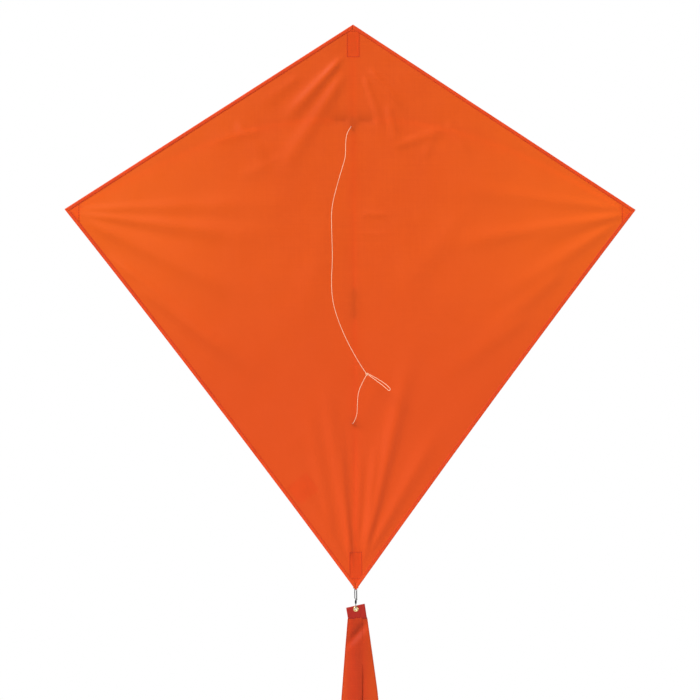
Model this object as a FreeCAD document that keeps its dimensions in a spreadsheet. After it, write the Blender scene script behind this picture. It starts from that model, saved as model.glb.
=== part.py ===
import FreeCAD, Part

"""Diamond kite: cloth sail, sprung rod frame, bridle line, snap swivel and cloth tail.

Millimetres. +Z points to the nose and +Y behind the sail. The origin is where the
axes of the spine and the spreader cross, so the cloth lies in front of it, at -Y.
"""
import math
import os
import re

import Sketcher
from FreeCAD import Placement, Rotation, Vector

SIZES = {
    # sail outline, from the rod crossing
    "span": 762.0, "nose_rise": 127.0, "tip_drop": 119.0, "tail_drop": 628.0,
    # cloth: layer thickness, sail plane in front of the rods, fold lines beside the spine
    "cloth": 0.4, "sail_depth": 4.4, "strip_half": 9.0, "fold_gap": 0.3,
    "hem_width": 5.0, "tip_patch": 20.0, "eye_radius": 1.2,
    "label_along": 28.0, "label_across": 32.0, "label_thick": 0.2,
    "label_inset": 70.0, "label_drop": 491.0,
    # sewn pockets on the spine's ends
    "pocket_wall": 0.4, "spine_pocket_radius": 2.9, "tip_pocket_radius": 2.5,
    "nose_pocket_low": 84.0, "nose_pocket_top": 118.4,
    "tail_pocket_top": 576.0, "tail_pocket_low": 611.6, "tip_pocket_long": 17.0,
    # spine
    "spine_dia": 4.0, "spine_top": 116.0, "spine_joint": 245.0, "spine_low": 607.0,
    "ferrule_dia": 5.6, "ferrule_long": 40.0,
    "cap_wall": 0.7, "cap_long": 8.0, "cap_end": 1.6,
    # spreader halves
    "spreader_dia": 3.0, "spreader_inner": 13.0, "spreader_free": 371.2, "spreader_turn": 29.1,
    # vinyl cross fitting
    "sleeve_dia": 8.0, "sleeve_top": 3.5, "sleeve_low": 14.5, "sleeve_flat": 3.4,
    "arm_dia": 6.5, "arm_stub": 6.2, "arm_start": 9.45, "arm_end": 26.0,
    "waist_radius": 2.9, "waist_long": 1.2,
    # bridle line and the places where it goes through the sail
    "line_dia": 0.7, "hitch_radius": 3.3, "upper_hitch_drop": 8.4, "lower_hitch_drop": 405.0,
    "keeper_long": 9.0, "line_gap": 0.25, "knot_radius": 1.7,
    # tab, snap, swivel
    "tab_wide": 0.9, "tab_tape": 0.4, "tab_hole": 0.85, "tab_top": 616.0,
    "hang_depth": 2.45, "snap_top": 625.7, "snap_half": 1.3, "snap_wire": 1.4, "gate_wire": 1.3,
    "snap_shoulder": 2.8, "gate_gap_low": 2.4, "gate_gap_top": 2.8, "gate_foot": 1.5,
    "barrel_radius": 1.3, "barrel_top": 641.6, "barrel_low": 646.2, "barrel_taper": 0.7,
    "neck_radius": 0.9, "bore_radius": 0.55, "cavity_radius": 0.95,
    "barrel_floor": 0.9, "cavity_long": 2.2,
    "eye_wire": 0.9, "ring_radius": 2.9, "ring_drop": 649.8,
    "head_radius": 0.85, "head_lift": 1.3, "head_thick": 1.0,
    # tail
    "eyelet_drop": 653.3, "eyelet_radius": 3.7, "eyelet_hole": 1.3, "eyelet_tube": 1.8,
    "eyelet_flange": 0.35, "hem_thick": 1.0, "tail_thick": 3.0,
    "tail_hem_left": 13.0, "tail_hem_right": 12.0, "hem_left_drop": 651.4, "hem_right_drop": 646.3,
    "gather_left": 10.5, "gather_right": 15.0, "tail_hem_low": 666.5,
    "flare_drop": 708.0, "flare_left": 14.5, "flare_right": 21.0,
    "spread_drop": 775.0, "spread_left": 20.0, "spread_right": 30.0,
    "full_left_drop": 900.0, "full_left": 30.0, "full_right_drop": 850.0, "full_right": 33.0,
    "tail_half": 32.0, "tail_end_hem": 1532.0, "tail_low": 1550.0,
}
SIDES = (("left", -1), ("right", 1))
BOW_ARCS = 6
WIDTHS_X = Vector(1, 0, 0)
DEPTH_Y = Vector(0, 1, 0)
HEIGHT_Z = Vector(0, 0, 1)

doc = FreeCAD.newDocument("diamond_kite")
sheet = doc.addObject("Spreadsheet::Sheet", "Sizes")
for row, (alias, value) in enumerate(SIZES.items(), start=1):
    sheet.set("A%d" % row, alias)
    sheet.set("B%d" % row, str(value))
    sheet.setAlias("B%d" % row, alias)
doc.recompute()
pieces = {}


def size(alias):
    """Gives a cell of the sheet as a number."""
    return float(sheet.get(alias))


def cell(text):
    """Turns words such as 'span / 2' into an expression on the sheet's cells."""
    return re.sub(r"[a-z_]+", lambda word: "Sizes." * (word.group() in SIZES) + word.group(), text)


def value_of(text):
    """Works out an expression on the sheet's cells."""
    return float(sheet.evalExpression(cell(text)))


def keep(label, thing):
    """Names a finished sub-part."""
    thing.Label = label
    pieces[label] = thing
    return thing


def bind(thing, **sizes):
    """Binds properties of an object to expressions on the sheet."""
    for name, text in sizes.items():
        thing.setExpression(name, cell(text))
    return thing


def locate(thing, x="0", y="0", z="0", turn=Rotation()):
    """Places an object: its base is bound to the sheet and its turn is fixed."""
    thing.Placement = Placement(Vector(0, 0, 0), turn)
    for name, text in (("x", x), ("y", y), ("z", z)):
        if text != "0":
            thing.setExpression("Placement.Base." + name, cell(text))
    return thing


# ---- makers of plain solids ----------------------------------------------------------------------

def cylinder(name, radius, height):
    """A cylinder that stands on its local XY plane."""
    return bind(doc.addObject("Part::Cylinder", name), Radius=radius, Height=height)


def block(name, length, width, height):
    """A box with its corner at its local origin."""
    return bind(doc.addObject("Part::Box", name), Length=length, Width=width, Height=height)


def cut(name, base, tool):
    """Takes the tool out of the base."""
    result = doc.addObject("Part::Cut", name)
    result.Base = base
    result.Tool = tool
    return result


def fuse(name, *shapes):
    """Joins shapes into one."""
    result = doc.addObject("Part::MultiFuse", name)
    result.Shapes = list(shapes)
    result.Refine = True
    return result


ALONG_X = Rotation(DEPTH_Y, 90)
ALONG_Y = Rotation(WIDTHS_X, -90)


def flat_piece(label, corners, thickness, face, holes=()):
    """A flat closed outline in the XZ plane, padded backwards from the depth `face`.

    corners are (x, z) pairs of expressions, and holes are (x, z, radius).
    """
    body = doc.addObject("PartDesign::Body", label)
    sketch = body.newObject("Sketcher::SketchObject", label + "_outline")
    plane = [item for item in body.Origin.OriginFeatures if item.Role == "XZ_Plane"][0]
    sketch.AttachmentSupport = [(plane, "")]
    sketch.MapMode = "FlatFace"
    flat = [Vector(value_of(x), value_of(z), 0) for x, z in corners]
    count = len(flat)
    for index in range(count):
        sketch.addGeometry(Part.LineSegment(flat[index], flat[(index + 1) % count]))
    for index in range(count):
        sketch.addConstraint(Sketcher.Constraint("Coincident", index, 2, (index + 1) % count, 1))
    for index, (x, z) in enumerate(corners):
        pin_point(sketch, index, 1, (x, z), flat[index])
    for x, z, radius in holes:
        centre = Vector(value_of(x), value_of(z), 0)
        circle = sketch.addGeometry(Part.Circle(centre, HEIGHT_Z, value_of(radius)))
        pin_point(sketch, circle, 3, (x, z), centre)
        number = sketch.addConstraint(Sketcher.Constraint("Radius", circle, value_of(radius)))
        sketch.setExpression("Constraints[%d]" % number, cell(radius))
    pad = body.newObject("PartDesign::Pad", label + "_pad")
    pad.Profile = sketch
    pad.Reversed = True
    bind(pad, Length=thickness)
    locate(body, y=face)
    return keep(label, body)


def pin_point(sketch, geometry, position, texts, point):
    """Holds a sketch point at two expressions, measured from the sketch's origin."""
    for kind, text, number in (("DistanceX", texts[0], point.x), ("DistanceY", texts[1], point.y)):
        index = sketch.addConstraint(Sketcher.Constraint(kind, -1, 1, geometry, position, number))
        sketch.setExpression("Constraints[%d]" % index, cell(text))


# ---- wires and cords: straight runs joined by tangent arcs ---------------------------------------

def rounded_path(points):
    """Gives the edges of a route whose corners are arcs as large as their runs allow."""
    edges = []
    radii = []
    last = points[0]
    for before, corner, after in zip(points, points[1:], points[2:]):
        back = before - corner
        ahead = after - corner
        turn = math.pi - back.getAngle(ahead)
        reach = 0.45 * min(back.Length, ahead.Length)
        radius = reach / math.tan(turn / 2)
        back.normalize()
        ahead.normalize()
        start = corner + back * reach
        end = corner + ahead * reach
        inward = (back + ahead).normalize()
        middle = corner + inward * (radius / math.cos(turn / 2) - radius)
        edges.append(Part.LineSegment(last, start).toShape())
        edges.append(Part.Arc(start, middle, end).toShape())
        radii.append(radius)
        last = end
    edges.append(Part.LineSegment(last, points[-1]).toShape())
    print("bend radii %s" % " ".join("%.1f" % radius for radius in radii))
    return edges


def tube(label, edges, diameter):
    """Sweeps a round section along a path of tangent edges."""
    path = Part.Wire(edges)
    first = edges[0]
    start = first.valueAt(first.FirstParameter)
    heading = first.tangentAt(first.FirstParameter)
    section = Part.Wire([Part.makeCircle(diameter / 2, start, heading)])
    solid = path.makePipeShell([section], True, False)
    feature = doc.addObject("Part::Feature", label)
    feature.Shape = solid
    ideal = math.pi * diameter ** 2 / 4 * path.Length
    print("%-20s length %.1f, volume %.4f of its section times length" %
          (label, path.Length, solid.Volume / ideal))
    return keep(label, feature)


def cord(label, points, diameter):
    """A tube along a route of points."""
    return tube(label, rounded_path(points), diameter)


# ---- sail: one cloth, bent only at the two fold lines beside the spine ---------------------------

LEAD = "((nose_rise + tip_drop) / (span / 2))"
TRAIL = "((tail_drop - tip_drop) / (span / 2))"
LEAD_HEM = "(hem_width * sqrt(1 + %s ^ 2))" % LEAD
TRAIL_HEM = "(hem_width * sqrt(1 + %s ^ 2))" % TRAIL
SAIL_FACE = "0 - sail_depth - cloth / 2"
HEM_FACE = "cloth / 2 - sail_depth"
PATCH_FACE = "1.5 * cloth - sail_depth"
PANEL_EDGE = "(strip_half + fold_gap)"
MITRE_X = "((nose_rise + tail_drop - %s - %s) / (%s + %s))" % (LEAD_HEM, TRAIL_HEM, LEAD, TRAIL)
MITRE_Z = "(nose_rise - %s * %s - %s)" % (LEAD, MITRE_X, LEAD_HEM)


def top_edge(x):
    """Height of the leading edge at a distance from the spine."""
    return "nose_rise - %s * %s" % (LEAD, x)


def low_edge(x):
    """Height of the trailing edge at a distance from the spine."""
    return "%s * %s - tail_drop" % (TRAIL, x)


def sided(side, corners):
    """Mirrors an outline for the left wing."""
    return [("%d * (%s)" % (side, x), z) for x, z in corners]


def centre_strip():
    """The sail's own strip along the spine, with the two holes for the bridle line."""
    hole_x = "0 - hitch_radius"
    flat_piece("sail_centre_strip", [
        ("0", "nose_rise"), ("strip_half", top_edge("strip_half")),
        ("strip_half", low_edge("strip_half")), ("0", "0 - tail_drop"),
        ("0 - strip_half", low_edge("strip_half")), ("0 - strip_half", top_edge("strip_half")),
    ], "cloth", SAIL_FACE, holes=[
        (hole_x, "0 - upper_hitch_drop", "eye_radius"),
        (hole_x, "0 - lower_hitch_drop", "eye_radius"),
    ])


def wing_cloth(name, side):
    """One wing's panel and its two folded hems, mitred at the tip."""
    tip = ("span / 2", "0 - tip_drop")
    mitre = (MITRE_X, MITRE_Z)
    flat_piece(name + "_sail_panel", sided(side, [
        (PANEL_EDGE, top_edge(PANEL_EDGE)), tip, (PANEL_EDGE, low_edge(PANEL_EDGE)),
    ]), "cloth", SAIL_FACE)
    flat_piece(name + "_leading_hem", sided(side, [
        (PANEL_EDGE, top_edge(PANEL_EDGE)), tip, mitre,
        (PANEL_EDGE, top_edge(PANEL_EDGE) + " - " + LEAD_HEM),
    ]), "cloth", HEM_FACE)
    flat_piece(name + "_trailing_hem", sided(side, [
        (PANEL_EDGE, low_edge(PANEL_EDGE)), tip, mitre,
        (PANEL_EDGE, low_edge(PANEL_EDGE) + " + " + TRAIL_HEM),
    ]), "cloth", HEM_FACE)


def sewn_label():
    """A blank label sewn on the back of the left wing, square to the trailing edge."""
    label = block("label_block", "label_along", "label_thick", "label_across")
    lean = math.degrees(math.atan(value_of(TRAIL)))
    turn = Rotation(DEPTH_Y, lean)
    middle = Vector(-size("label_inset"), value_of(HEM_FACE), -size("label_drop"))
    corner = turn.multVec(Vector(size("label_along") / 2, 0, size("label_across") / 2))
    label.Placement = Placement(middle - corner, turn)
    keep("sewn_label", label)


# ---- sewn pockets --------------------------------------------------------------------------------

def frame_along(origin, heading):
    """A placement whose local Z is a heading in the sail's plane and whose local Y is global Y."""
    across = DEPTH_Y.cross(heading)
    return Placement(origin, Rotation(across, DEPTH_Y, heading, "ZYX"))


def shifted(placement, x=0.0, y=0.0, z=0.0):
    """Moves a placement by a local distance."""
    return placement.multiply(Placement(Vector(x, y, z), Rotation()))


def arch(name, radius, drop, height, placement):
    """A tunnel round a rod: a round back at rod level with straight sides down to the cloth."""
    back = cylinder(name + "_back", radius, height)
    back.Placement = placement
    sides = block(name + "_sides", "2 * (%s)" % radius, drop, height)
    sides.Placement = shifted(placement, x=-value_of(radius), y=-value_of(drop))
    return fuse(name, back, sides)


def pocket(label, patch, radius, drop, height, start, closed_start):
    """A cloth pocket: a flat patch with a tunnel that is closed at its start or at its far end."""
    pieces.pop(patch)
    outer = arch(label + "_outer", radius + " + pocket_wall", drop, height, start)
    shift = size("pocket_wall") if closed_start else -1.0
    deep = height + " + 1" if closed_start else height + " - pocket_wall + 1"
    inner = arch(label + "_inner", radius, drop + " + 1", deep, shifted(start, z=shift))
    skin = fuse(label + "_skin", doc.getObject(patch), outer)
    keep(label, cut(label + "_cut", skin, inner))


def spine_pockets():
    """The nose and tail pockets, whose patches also fold over the sail's points."""
    flat_piece("nose_patch", [
        ("0", "nose_rise"), ("strip_half", top_edge("strip_half")),
        ("strip_half", "nose_pocket_low"), ("0 - strip_half", "nose_pocket_low"),
        ("0 - strip_half", top_edge("strip_half")),
    ], "cloth", HEM_FACE)
    flat_piece("tail_patch", [
        ("0", "0 - tail_drop"), ("strip_half", low_edge("strip_half")),
        ("strip_half", "0 - tail_pocket_top"), ("0 - strip_half", "0 - tail_pocket_top"),
        ("0 - strip_half", low_edge("strip_half")),
    ], "cloth", HEM_FACE)
    drop = "sail_depth - cloth / 2"
    mouth = frame_along(Vector(0, 0, size("nose_pocket_low")), HEIGHT_Z)
    pocket("nose_pocket", "nose_patch", "spine_pocket_radius", drop,
           "nose_pocket_top - nose_pocket_low", mouth, closed_start=False)
    toe = frame_along(Vector(0, 0, -size("tail_pocket_low")), HEIGHT_Z)
    pocket("tail_pocket", "tail_patch", "spine_pocket_radius", drop,
           "tail_pocket_low - tail_pocket_top", toe, closed_start=True)


def tip_pocket(name, side, rod_end, heading):
    """The corner pocket at a wing tip, over the hems, with its tunnel along the rod's end."""
    inner_edge = "(span / 2 - tip_patch)"
    patch = name + "_tip_patch"
    flat_piece(patch, sided(side, [
        (inner_edge, top_edge(inner_edge)), ("span / 2", "0 - tip_drop"),
        (inner_edge, low_edge(inner_edge)),
    ]), "cloth", PATCH_FACE)
    back = size("tip_pocket_long") - size("cap_end") - size("pocket_wall") - 0.2
    mouth = frame_along(rod_end - heading * back, heading)
    pocket(name + "_tip_pocket", patch, "tip_pocket_radius", "sail_depth - 1.5 * cloth",
           "tip_pocket_long", mouth, closed_start=False)


# ---- frame rods ----------------------------------------------------------------------------------

def spine():
    """Two straight rods that meet inside a ferrule, with a cap on each free end."""
    radius = "spine_dia / 2"
    upper = cylinder("upper_spine_cylinder", radius, "spine_top + spine_joint")
    keep("upper_spine_rod", locate(upper, z="0 - spine_joint"))
    lower = cylinder("lower_spine_cylinder", radius, "spine_low - spine_joint")
    keep("lower_spine_rod", locate(lower, z="0 - spine_low"))
    skin = cylinder("ferrule_skin", "ferrule_dia / 2", "ferrule_long")
    bore = cylinder("ferrule_bore", radius, "ferrule_long")
    low = "0 - spine_joint - ferrule_long / 2"
    keep("spine_ferrule", cut("ferrule_cut", locate(skin, z=low), locate(bore, z=low)))
    end_cap("spine_top_cap", "spine_dia", frame_along(Vector(0, 0, size("spine_top")), HEIGHT_Z))
    down = frame_along(Vector(0, 0, -size("spine_low")), -HEIGHT_Z)
    end_cap("spine_bottom_cap", "spine_dia", down)


def end_cap(label, rod, end):
    """A vinyl cap over a rod's end; the placement stands on the end and points outwards."""
    covered = size("cap_long") - size("cap_end")
    skin = cylinder(label + "_skin", rod + " / 2 + cap_wall", "cap_long")
    skin.Placement = shifted(end, z=-covered)
    bore = cylinder(label + "_bore", rod + " / 2", "cap_long - cap_end")
    bore.Placement = shifted(end, z=-covered)
    keep(label, cut(label + "_cut", skin, bore))


def spreader_path(side):
    """A spreader half's path: straight in the fitting, then arcs that flatten out towards the tip.

    A rod that is pushed sideways at its tip bends most at the fitting, so each arc's share of the
    turn falls evenly to nothing at the tip.
    """
    start = Vector(side * size("spreader_inner"), 0, 0)
    here = Vector(side * size("arm_end"), 0, 0)
    edges = [Part.LineSegment(start, here).toShape()]
    step = size("spreader_free") / BOW_ARCS
    turned = 0.0
    for index in range(BOW_ARCS):
        share = (BOW_ARCS - index - 0.5) / (BOW_ARCS ** 2 / 2)
        turn = math.radians(size("spreader_turn")) * share
        radius = step / turn
        middle = here + fall(side, turned + turn / 4) * (2 * radius * math.sin(turn / 4))
        end = here + fall(side, turned + turn / 2) * (2 * radius * math.sin(turn / 2))
        edges.append(Part.Arc(here, middle, end).toShape())
        here = end
        turned += turn
    return edges, here, fall(side, turned)


def fall(side, angle):
    """A direction outwards that falls below the horizontal by an angle."""
    return Vector(side * math.cos(angle), 0, -math.sin(angle))


def spreader_half(name, side):
    """One sprung rod with its tip cap, and the pocket that holds it."""
    edges, end, heading = spreader_path(side)
    print("%s spreader ends at %.1f, %.1f" % (name, end.x, end.z))
    tube(name + "_spreader_rod", edges, size("spreader_dia"))
    end_cap(name + "_spreader_cap", "spreader_dia", frame_along(end, heading))
    tip_pocket(name, side, end, heading)


# ---- vinyl cross fitting -------------------------------------------------------------------------

def waist(name, drop):
    """The ring-shaped cut that the bridle line's turns press into a sleeve."""
    low = "0 - %s - waist_long / 2" % drop
    outer = locate(cylinder(name + "_outer", "sleeve_dia", "waist_long"), z=low)
    inner = locate(cylinder(name + "_inner", "waist_radius", "waist_long"), z=low)
    return cut(name, outer, inner)


def cross_fitting():
    """The sleeve on the spine with its flat back, two stubs and a waist for the bridle line."""
    sleeve = cylinder("fitting_sleeve", "sleeve_dia / 2", "sleeve_top + sleeve_low")
    locate(sleeve, z="0 - sleeve_low")
    stubs = cylinder("fitting_stubs", "arm_dia / 2", "2 * arm_stub")
    locate(stubs, x="0 - arm_stub", turn=ALONG_X)
    blank = fuse("fitting_blank", sleeve, stubs)
    bore = cylinder("fitting_bore", "spine_dia / 2", "2 * sleeve_low")
    locate(bore, z="0 - 1.5 * sleeve_low")
    back = block("fitting_back", "4 * arm_stub", "sleeve_dia", "4 * sleeve_low")
    locate(back, x="0 - 2 * arm_stub", y="sleeve_flat", z="0 - 2 * sleeve_low")
    tools = fuse("fitting_tools", bore, back, waist("fitting_waist", "upper_hitch_drop"))
    keep("cross_fitting", cut("fitting_cut", blank, tools))


def fitting_arm(name, side):
    """A soft socket for a spreader half; the open bend zone beside the sleeve is its hinge."""
    start = "arm_start" if side > 0 else "0 - arm_end"
    skin = cylinder(name + "_arm_skin", "arm_dia / 2", "arm_end - arm_start")
    bore = cylinder(name + "_arm_bore", "spreader_dia / 2", "arm_end - arm_start")
    locate(skin, x=start, turn=ALONG_X)
    locate(bore, x=start, turn=ALONG_X)
    keep(name + "_fitting_arm", cut(name + "_arm_cut", skin, bore))


# ---- bridle --------------------------------------------------------------------------------------

def hitch(label, drop):
    """A turn of line round a waist, with its short run forwards through the hole in the sail."""
    ring = size("hitch_radius")
    height = -size(drop)
    ahead = Vector(-ring, -size("sail_depth") - size("line_gap"), height)
    beside = Vector(-ring, 0, height)
    behind = Vector(0, ring, height)
    tucked = Vector(-ring * math.sqrt(0.5), -ring * math.sqrt(0.5), height)
    run = Part.LineSegment(ahead, beside).toShape()
    far_side = Part.Arc(beside, behind, Vector(ring, 0, height)).toShape()
    near_side = Part.Arc(Vector(ring, 0, height), Vector(0, -ring, height), tucked).toShape()
    tube(label, [run, far_side, near_side], size("line_dia"))


def keeper():
    """The vinyl ring that stops the lower hitch from sliding along the spine."""
    low = "0 - lower_hitch_drop - keeper_long / 2"
    skin = locate(cylinder("keeper_skin", "sleeve_dia / 2", "keeper_long"), z=low)
    bore = locate(cylinder("keeper_bore", "spine_dia / 2", "keeper_long"), z=low)
    tools = fuse("keeper_tools", bore, waist("keeper_waist", "lower_hitch_drop"))
    keep("lower_bridle_keeper", cut("keeper_cut", skin, tools))


def bridle():
    """The bridle's two legs, its knot and the tow loop, which hang in front of the sail."""
    front = -size("sail_depth") - 2 * size("line_gap")
    exit_x = -size("hitch_radius")
    knot = Vector(14.6, -26.4, -338.5)
    line = size("line_dia")
    cord("bridle_upper_leg", [
        Vector(exit_x, front, -size("upper_hitch_drop")),
        Vector(-3.5, -9.0, -8.7), Vector(-5.8, -13.8, -12.6), Vector(-10.0, -17.2, -19.8),
        Vector(-11.8, -19.2, -32.0), Vector(-11.9, -21.2, -51.0), Vector(-16.5, -22.9, -65.0),
        Vector(-24.0, -24.4, -90.0), Vector(-31.5, -25.8, -119.0), Vector(-31.2, -26.9, -150.0),
        Vector(-30.2, -27.7, -187.0), Vector(-32.2, -28.2, -214.0), Vector(-30.8, -28.3, -242.0),
        Vector(-23.5, -28.2, -267.0), Vector(-13.0, -27.9, -292.0), Vector(-2.9, -27.4, -311.0),
        Vector(5.7, -26.9, -326.0), Vector(13.9, -26.4, -337.8),
    ], line)
    cord("bridle_lower_leg", [
        Vector(exit_x, front, -size("lower_hitch_drop")),
        Vector(-3.1, -8.8, -404.6), Vector(-0.9, -13.9, -400.3), Vector(2.0, -16.9, -391.8),
        Vector(2.3, -19.8, -378.0), Vector(2.7, -22.8, -366.0), Vector(5.6, -24.8, -355.0),
        Vector(14.0, -26.3, -339.3),
    ], line)
    ball = doc.addObject("Part::Sphere", "knot_ball")
    bind(ball, Radius="knot_radius")
    ball.Placement = Placement(knot, Rotation())
    keep("bridle_knot", ball)
    reach = Vector(29.1, -13.6, -24.0)
    reach.normalize()
    aside = reach.cross(DEPTH_Y)
    aside.normalize()
    half_shape = [(2.0, 0.55), (15.0, 1.5), (28.0, 1.9), (35.0, 1.75), (38.2, 1.55)]
    out = [knot + reach * along + aside * wide for along, wide in half_shape]
    home = [knot + reach * along - aside * wide for along, wide in reversed(half_shape)]
    cord("tow_loop", out + home, line)


# ---- tail tab, snap and swivel -------------------------------------------------------------------

def tail_tab():
    """A narrow tape loop sewn on the tail pocket, round the top of the snap's wire."""
    def stadium(name, radius, width):
        """A flat-sided ring blank that stands across the sail's plane."""
        low = locate(cylinder(name + "_low", radius, width), x="0 - (%s) / 2" % width,
                     y="0 - hang_depth", z="0 - snap_top", turn=ALONG_X)
        high = locate(cylinder(name + "_high", radius, width), x="0 - (%s) / 2" % width,
                      y="0 - hang_depth", z="0 - tab_top", turn=ALONG_X)
        middle = block(name + "_middle", width, "2 * (%s)" % radius, "snap_top - tab_top")
        locate(middle, x="0 - (%s) / 2" % width, y="0 - hang_depth - (%s)" % radius,
               z="0 - snap_top")
        return fuse(name, low, high, middle)

    outer = stadium("tab_outer", "tab_hole + tab_tape", "tab_wide")
    inner = stadium("tab_inner", "tab_hole", "tab_wide + 1")
    keep("tail_tab", cut("tab_cut", outer, inner))


def snap():
    """The snap's fixed wire and its sprung gate."""
    depth = -size("hang_depth")
    half = size("snap_half")
    top = -size("snap_top")
    foot = -size("barrel_top")
    shoulder = foot + size("snap_shoulder")
    cord("snap_wire", [
        Vector(0, depth, foot), Vector(0, depth, foot + 1.0), Vector(-half, depth, shoulder),
        Vector(-half, depth, top), Vector(half, depth, top),
        Vector(half, depth, top - size("gate_gap_low")),
    ], size("snap_wire"))
    cord("snap_gate", [
        Vector(size("gate_foot"), depth, foot + 0.2), Vector(half, depth, foot + 1.8),
        Vector(half, depth, top - size("gate_gap_top")),
    ], size("gate_wire"))


def swivel():
    """The swivel's hollow barrel, and the headed eye that turns in it."""
    depth = "0 - hang_depth"
    straight = "barrel_low - barrel_top - 2 * barrel_taper"
    middle = locate(cylinder("barrel_middle", "barrel_radius", straight), y=depth,
                    z="0 - barrel_low + barrel_taper")
    ends = []
    for name, low, first, second in (
            ("top", "0 - barrel_top - barrel_taper", "barrel_radius", "neck_radius"),
            ("low", "0 - barrel_low", "neck_radius", "barrel_radius")):
        cone = doc.addObject("Part::Cone", "barrel_" + name)
        bind(cone, Radius1=first, Radius2=second, Height="barrel_taper")
        ends.append(locate(cone, y=depth, z=low))
    blank = fuse("barrel_blank", middle, *ends)
    neck = locate(cylinder("barrel_neck", "bore_radius", "2 * barrel_floor"), y=depth,
                  z="0 - barrel_low - barrel_floor / 2")
    cavity = locate(cylinder("barrel_cavity", "cavity_radius", "cavity_long"), y=depth,
                    z="0 - barrel_low + barrel_floor")
    keep("swivel_barrel", cut("barrel_cut", blank, fuse("barrel_hollow", neck, cavity)))
    ring = bind(doc.addObject("Part::Torus", "eye_ring"), Radius1="ring_radius",
                Radius2="eye_wire / 2")
    locate(ring, y=depth, z="0 - ring_drop", turn=ALONG_X)
    stem_long = "ring_drop - ring_radius - barrel_low + head_lift + head_thick / 2"
    stem = locate(cylinder("eye_stem", "eye_wire / 2", stem_long), y=depth,
                  z="0 - ring_drop + ring_radius")
    head = locate(cylinder("eye_head", "head_radius", "head_thick"), y=depth,
                  z="0 - barrel_low + head_lift")
    keep("swivel_eye", fuse("eye_fuse", ring, stem, head))


# ---- tail ----------------------------------------------------------------------------------------

def eyelet():
    """The tail's brass eyelet: a flanged tube from the front and a washer at the back."""
    drop = "0 - eyelet_drop"
    front = "0 - hang_depth - hem_thick / 2 - eyelet_flange"
    whole = "hem_thick + 2 * eyelet_flange"
    flange = locate(cylinder("eyelet_rim", "eyelet_radius", "eyelet_flange"), y=front, z=drop,
                    turn=ALONG_Y)
    body = locate(cylinder("eyelet_body", "eyelet_tube", whole), y=front, z=drop, turn=ALONG_Y)
    hole = locate(cylinder("eyelet_bore", "eyelet_hole", whole), y=front, z=drop, turn=ALONG_Y)
    keep("tail_eyelet", cut("eyelet_cut", fuse("eyelet_blank", flange, body), hole))
    back = "0 - hang_depth + hem_thick / 2"
    rim = locate(cylinder("washer_rim", "eyelet_radius", "eyelet_flange"), y=back, z=drop,
                 turn=ALONG_Y)
    bore = locate(cylinder("washer_bore", "eyelet_tube", "eyelet_flange"), y=back, z=drop,
                  turn=ALONG_Y)
    keep("eyelet_washer", cut("washer_cut", rim, bore))


def tail():
    """The tail's folded top hem, its long strip and the hem at its end."""
    hem_face = "0 - hang_depth - hem_thick / 2"
    flat_piece("tail_top_hem", [
        ("0 - tail_hem_left", "0 - hem_left_drop"), ("tail_hem_right", "0 - hem_right_drop"),
        ("gather_right", "0 - tail_hem_low"), ("0 - gather_left", "0 - tail_hem_low"),
    ], "hem_thick", hem_face, holes=[("0", "0 - eyelet_drop", "eyelet_tube")])
    flat_piece("tail_strip", [
        ("0 - gather_left", "0 - tail_hem_low"), ("gather_right", "0 - tail_hem_low"),
        ("flare_right", "0 - flare_drop"), ("spread_right", "0 - spread_drop"),
        ("full_right", "0 - full_right_drop"), ("tail_half", "0 - tail_end_hem"),
        ("0 - tail_half", "0 - tail_end_hem"), ("0 - full_left", "0 - full_left_drop"),
        ("0 - spread_left", "0 - spread_drop"), ("0 - flare_left", "0 - flare_drop"),
    ], "tail_thick", "0 - hang_depth - tail_thick / 2")
    flat_piece("tail_end_hem", [
        ("0 - tail_half", "0 - tail_end_hem"), ("tail_half", "0 - tail_end_hem"),
        ("tail_half", "0 - tail_low"), ("0 - tail_half", "0 - tail_low"),
    ], "hem_thick", hem_face)
    eyelet()


# ---- the kite ------------------------------------------------------------------------------------

centre_strip()
spine_pockets()
spine()
cross_fitting()
for side_name, side_sign in SIDES:
    wing_cloth(side_name, side_sign)
    spreader_half(side_name, side_sign)
    fitting_arm(side_name, side_sign)
sewn_label()
hitch("upper_bridle_hitch", "upper_hitch_drop")
hitch("lower_bridle_hitch", "lower_hitch_drop")
keeper()
bridle()
tail_tab()
snap()
swivel()
tail()
doc.recompute()

for item in doc.Objects:
    if "Invalid" in item.State or "Error" in item.State:
        raise RuntimeError("%s did not recompute: %s" % (item.Name, item.State))
for label, piece in pieces.items():
    if piece.Shape.isNull() or not piece.Shape.isValid() or not piece.Shape.Solids:
        raise RuntimeError("%s has no valid solid" % label)
os.makedirs("parts", exist_ok=True)
for label, piece in pieces.items():
    piece.Shape.exportStep(os.path.join("parts", label + ".step"))
print("%d sub-parts written" % len(pieces))
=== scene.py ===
"""The visual model of a diamond kite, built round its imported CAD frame.

Lengths are in metres. The origin is where the spreader crosses the spine, x runs to the right for
someone in front of the kite, y runs away from them and z runs up. The cloth hangs in front of the
rods, so the bridle side of the sail faces -y.
"""

import logging
import math
from dataclasses import dataclass, field
from enum import Enum

import bmesh
import bpy
import numpy as np
from mathutils import Matrix, Vector


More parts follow.
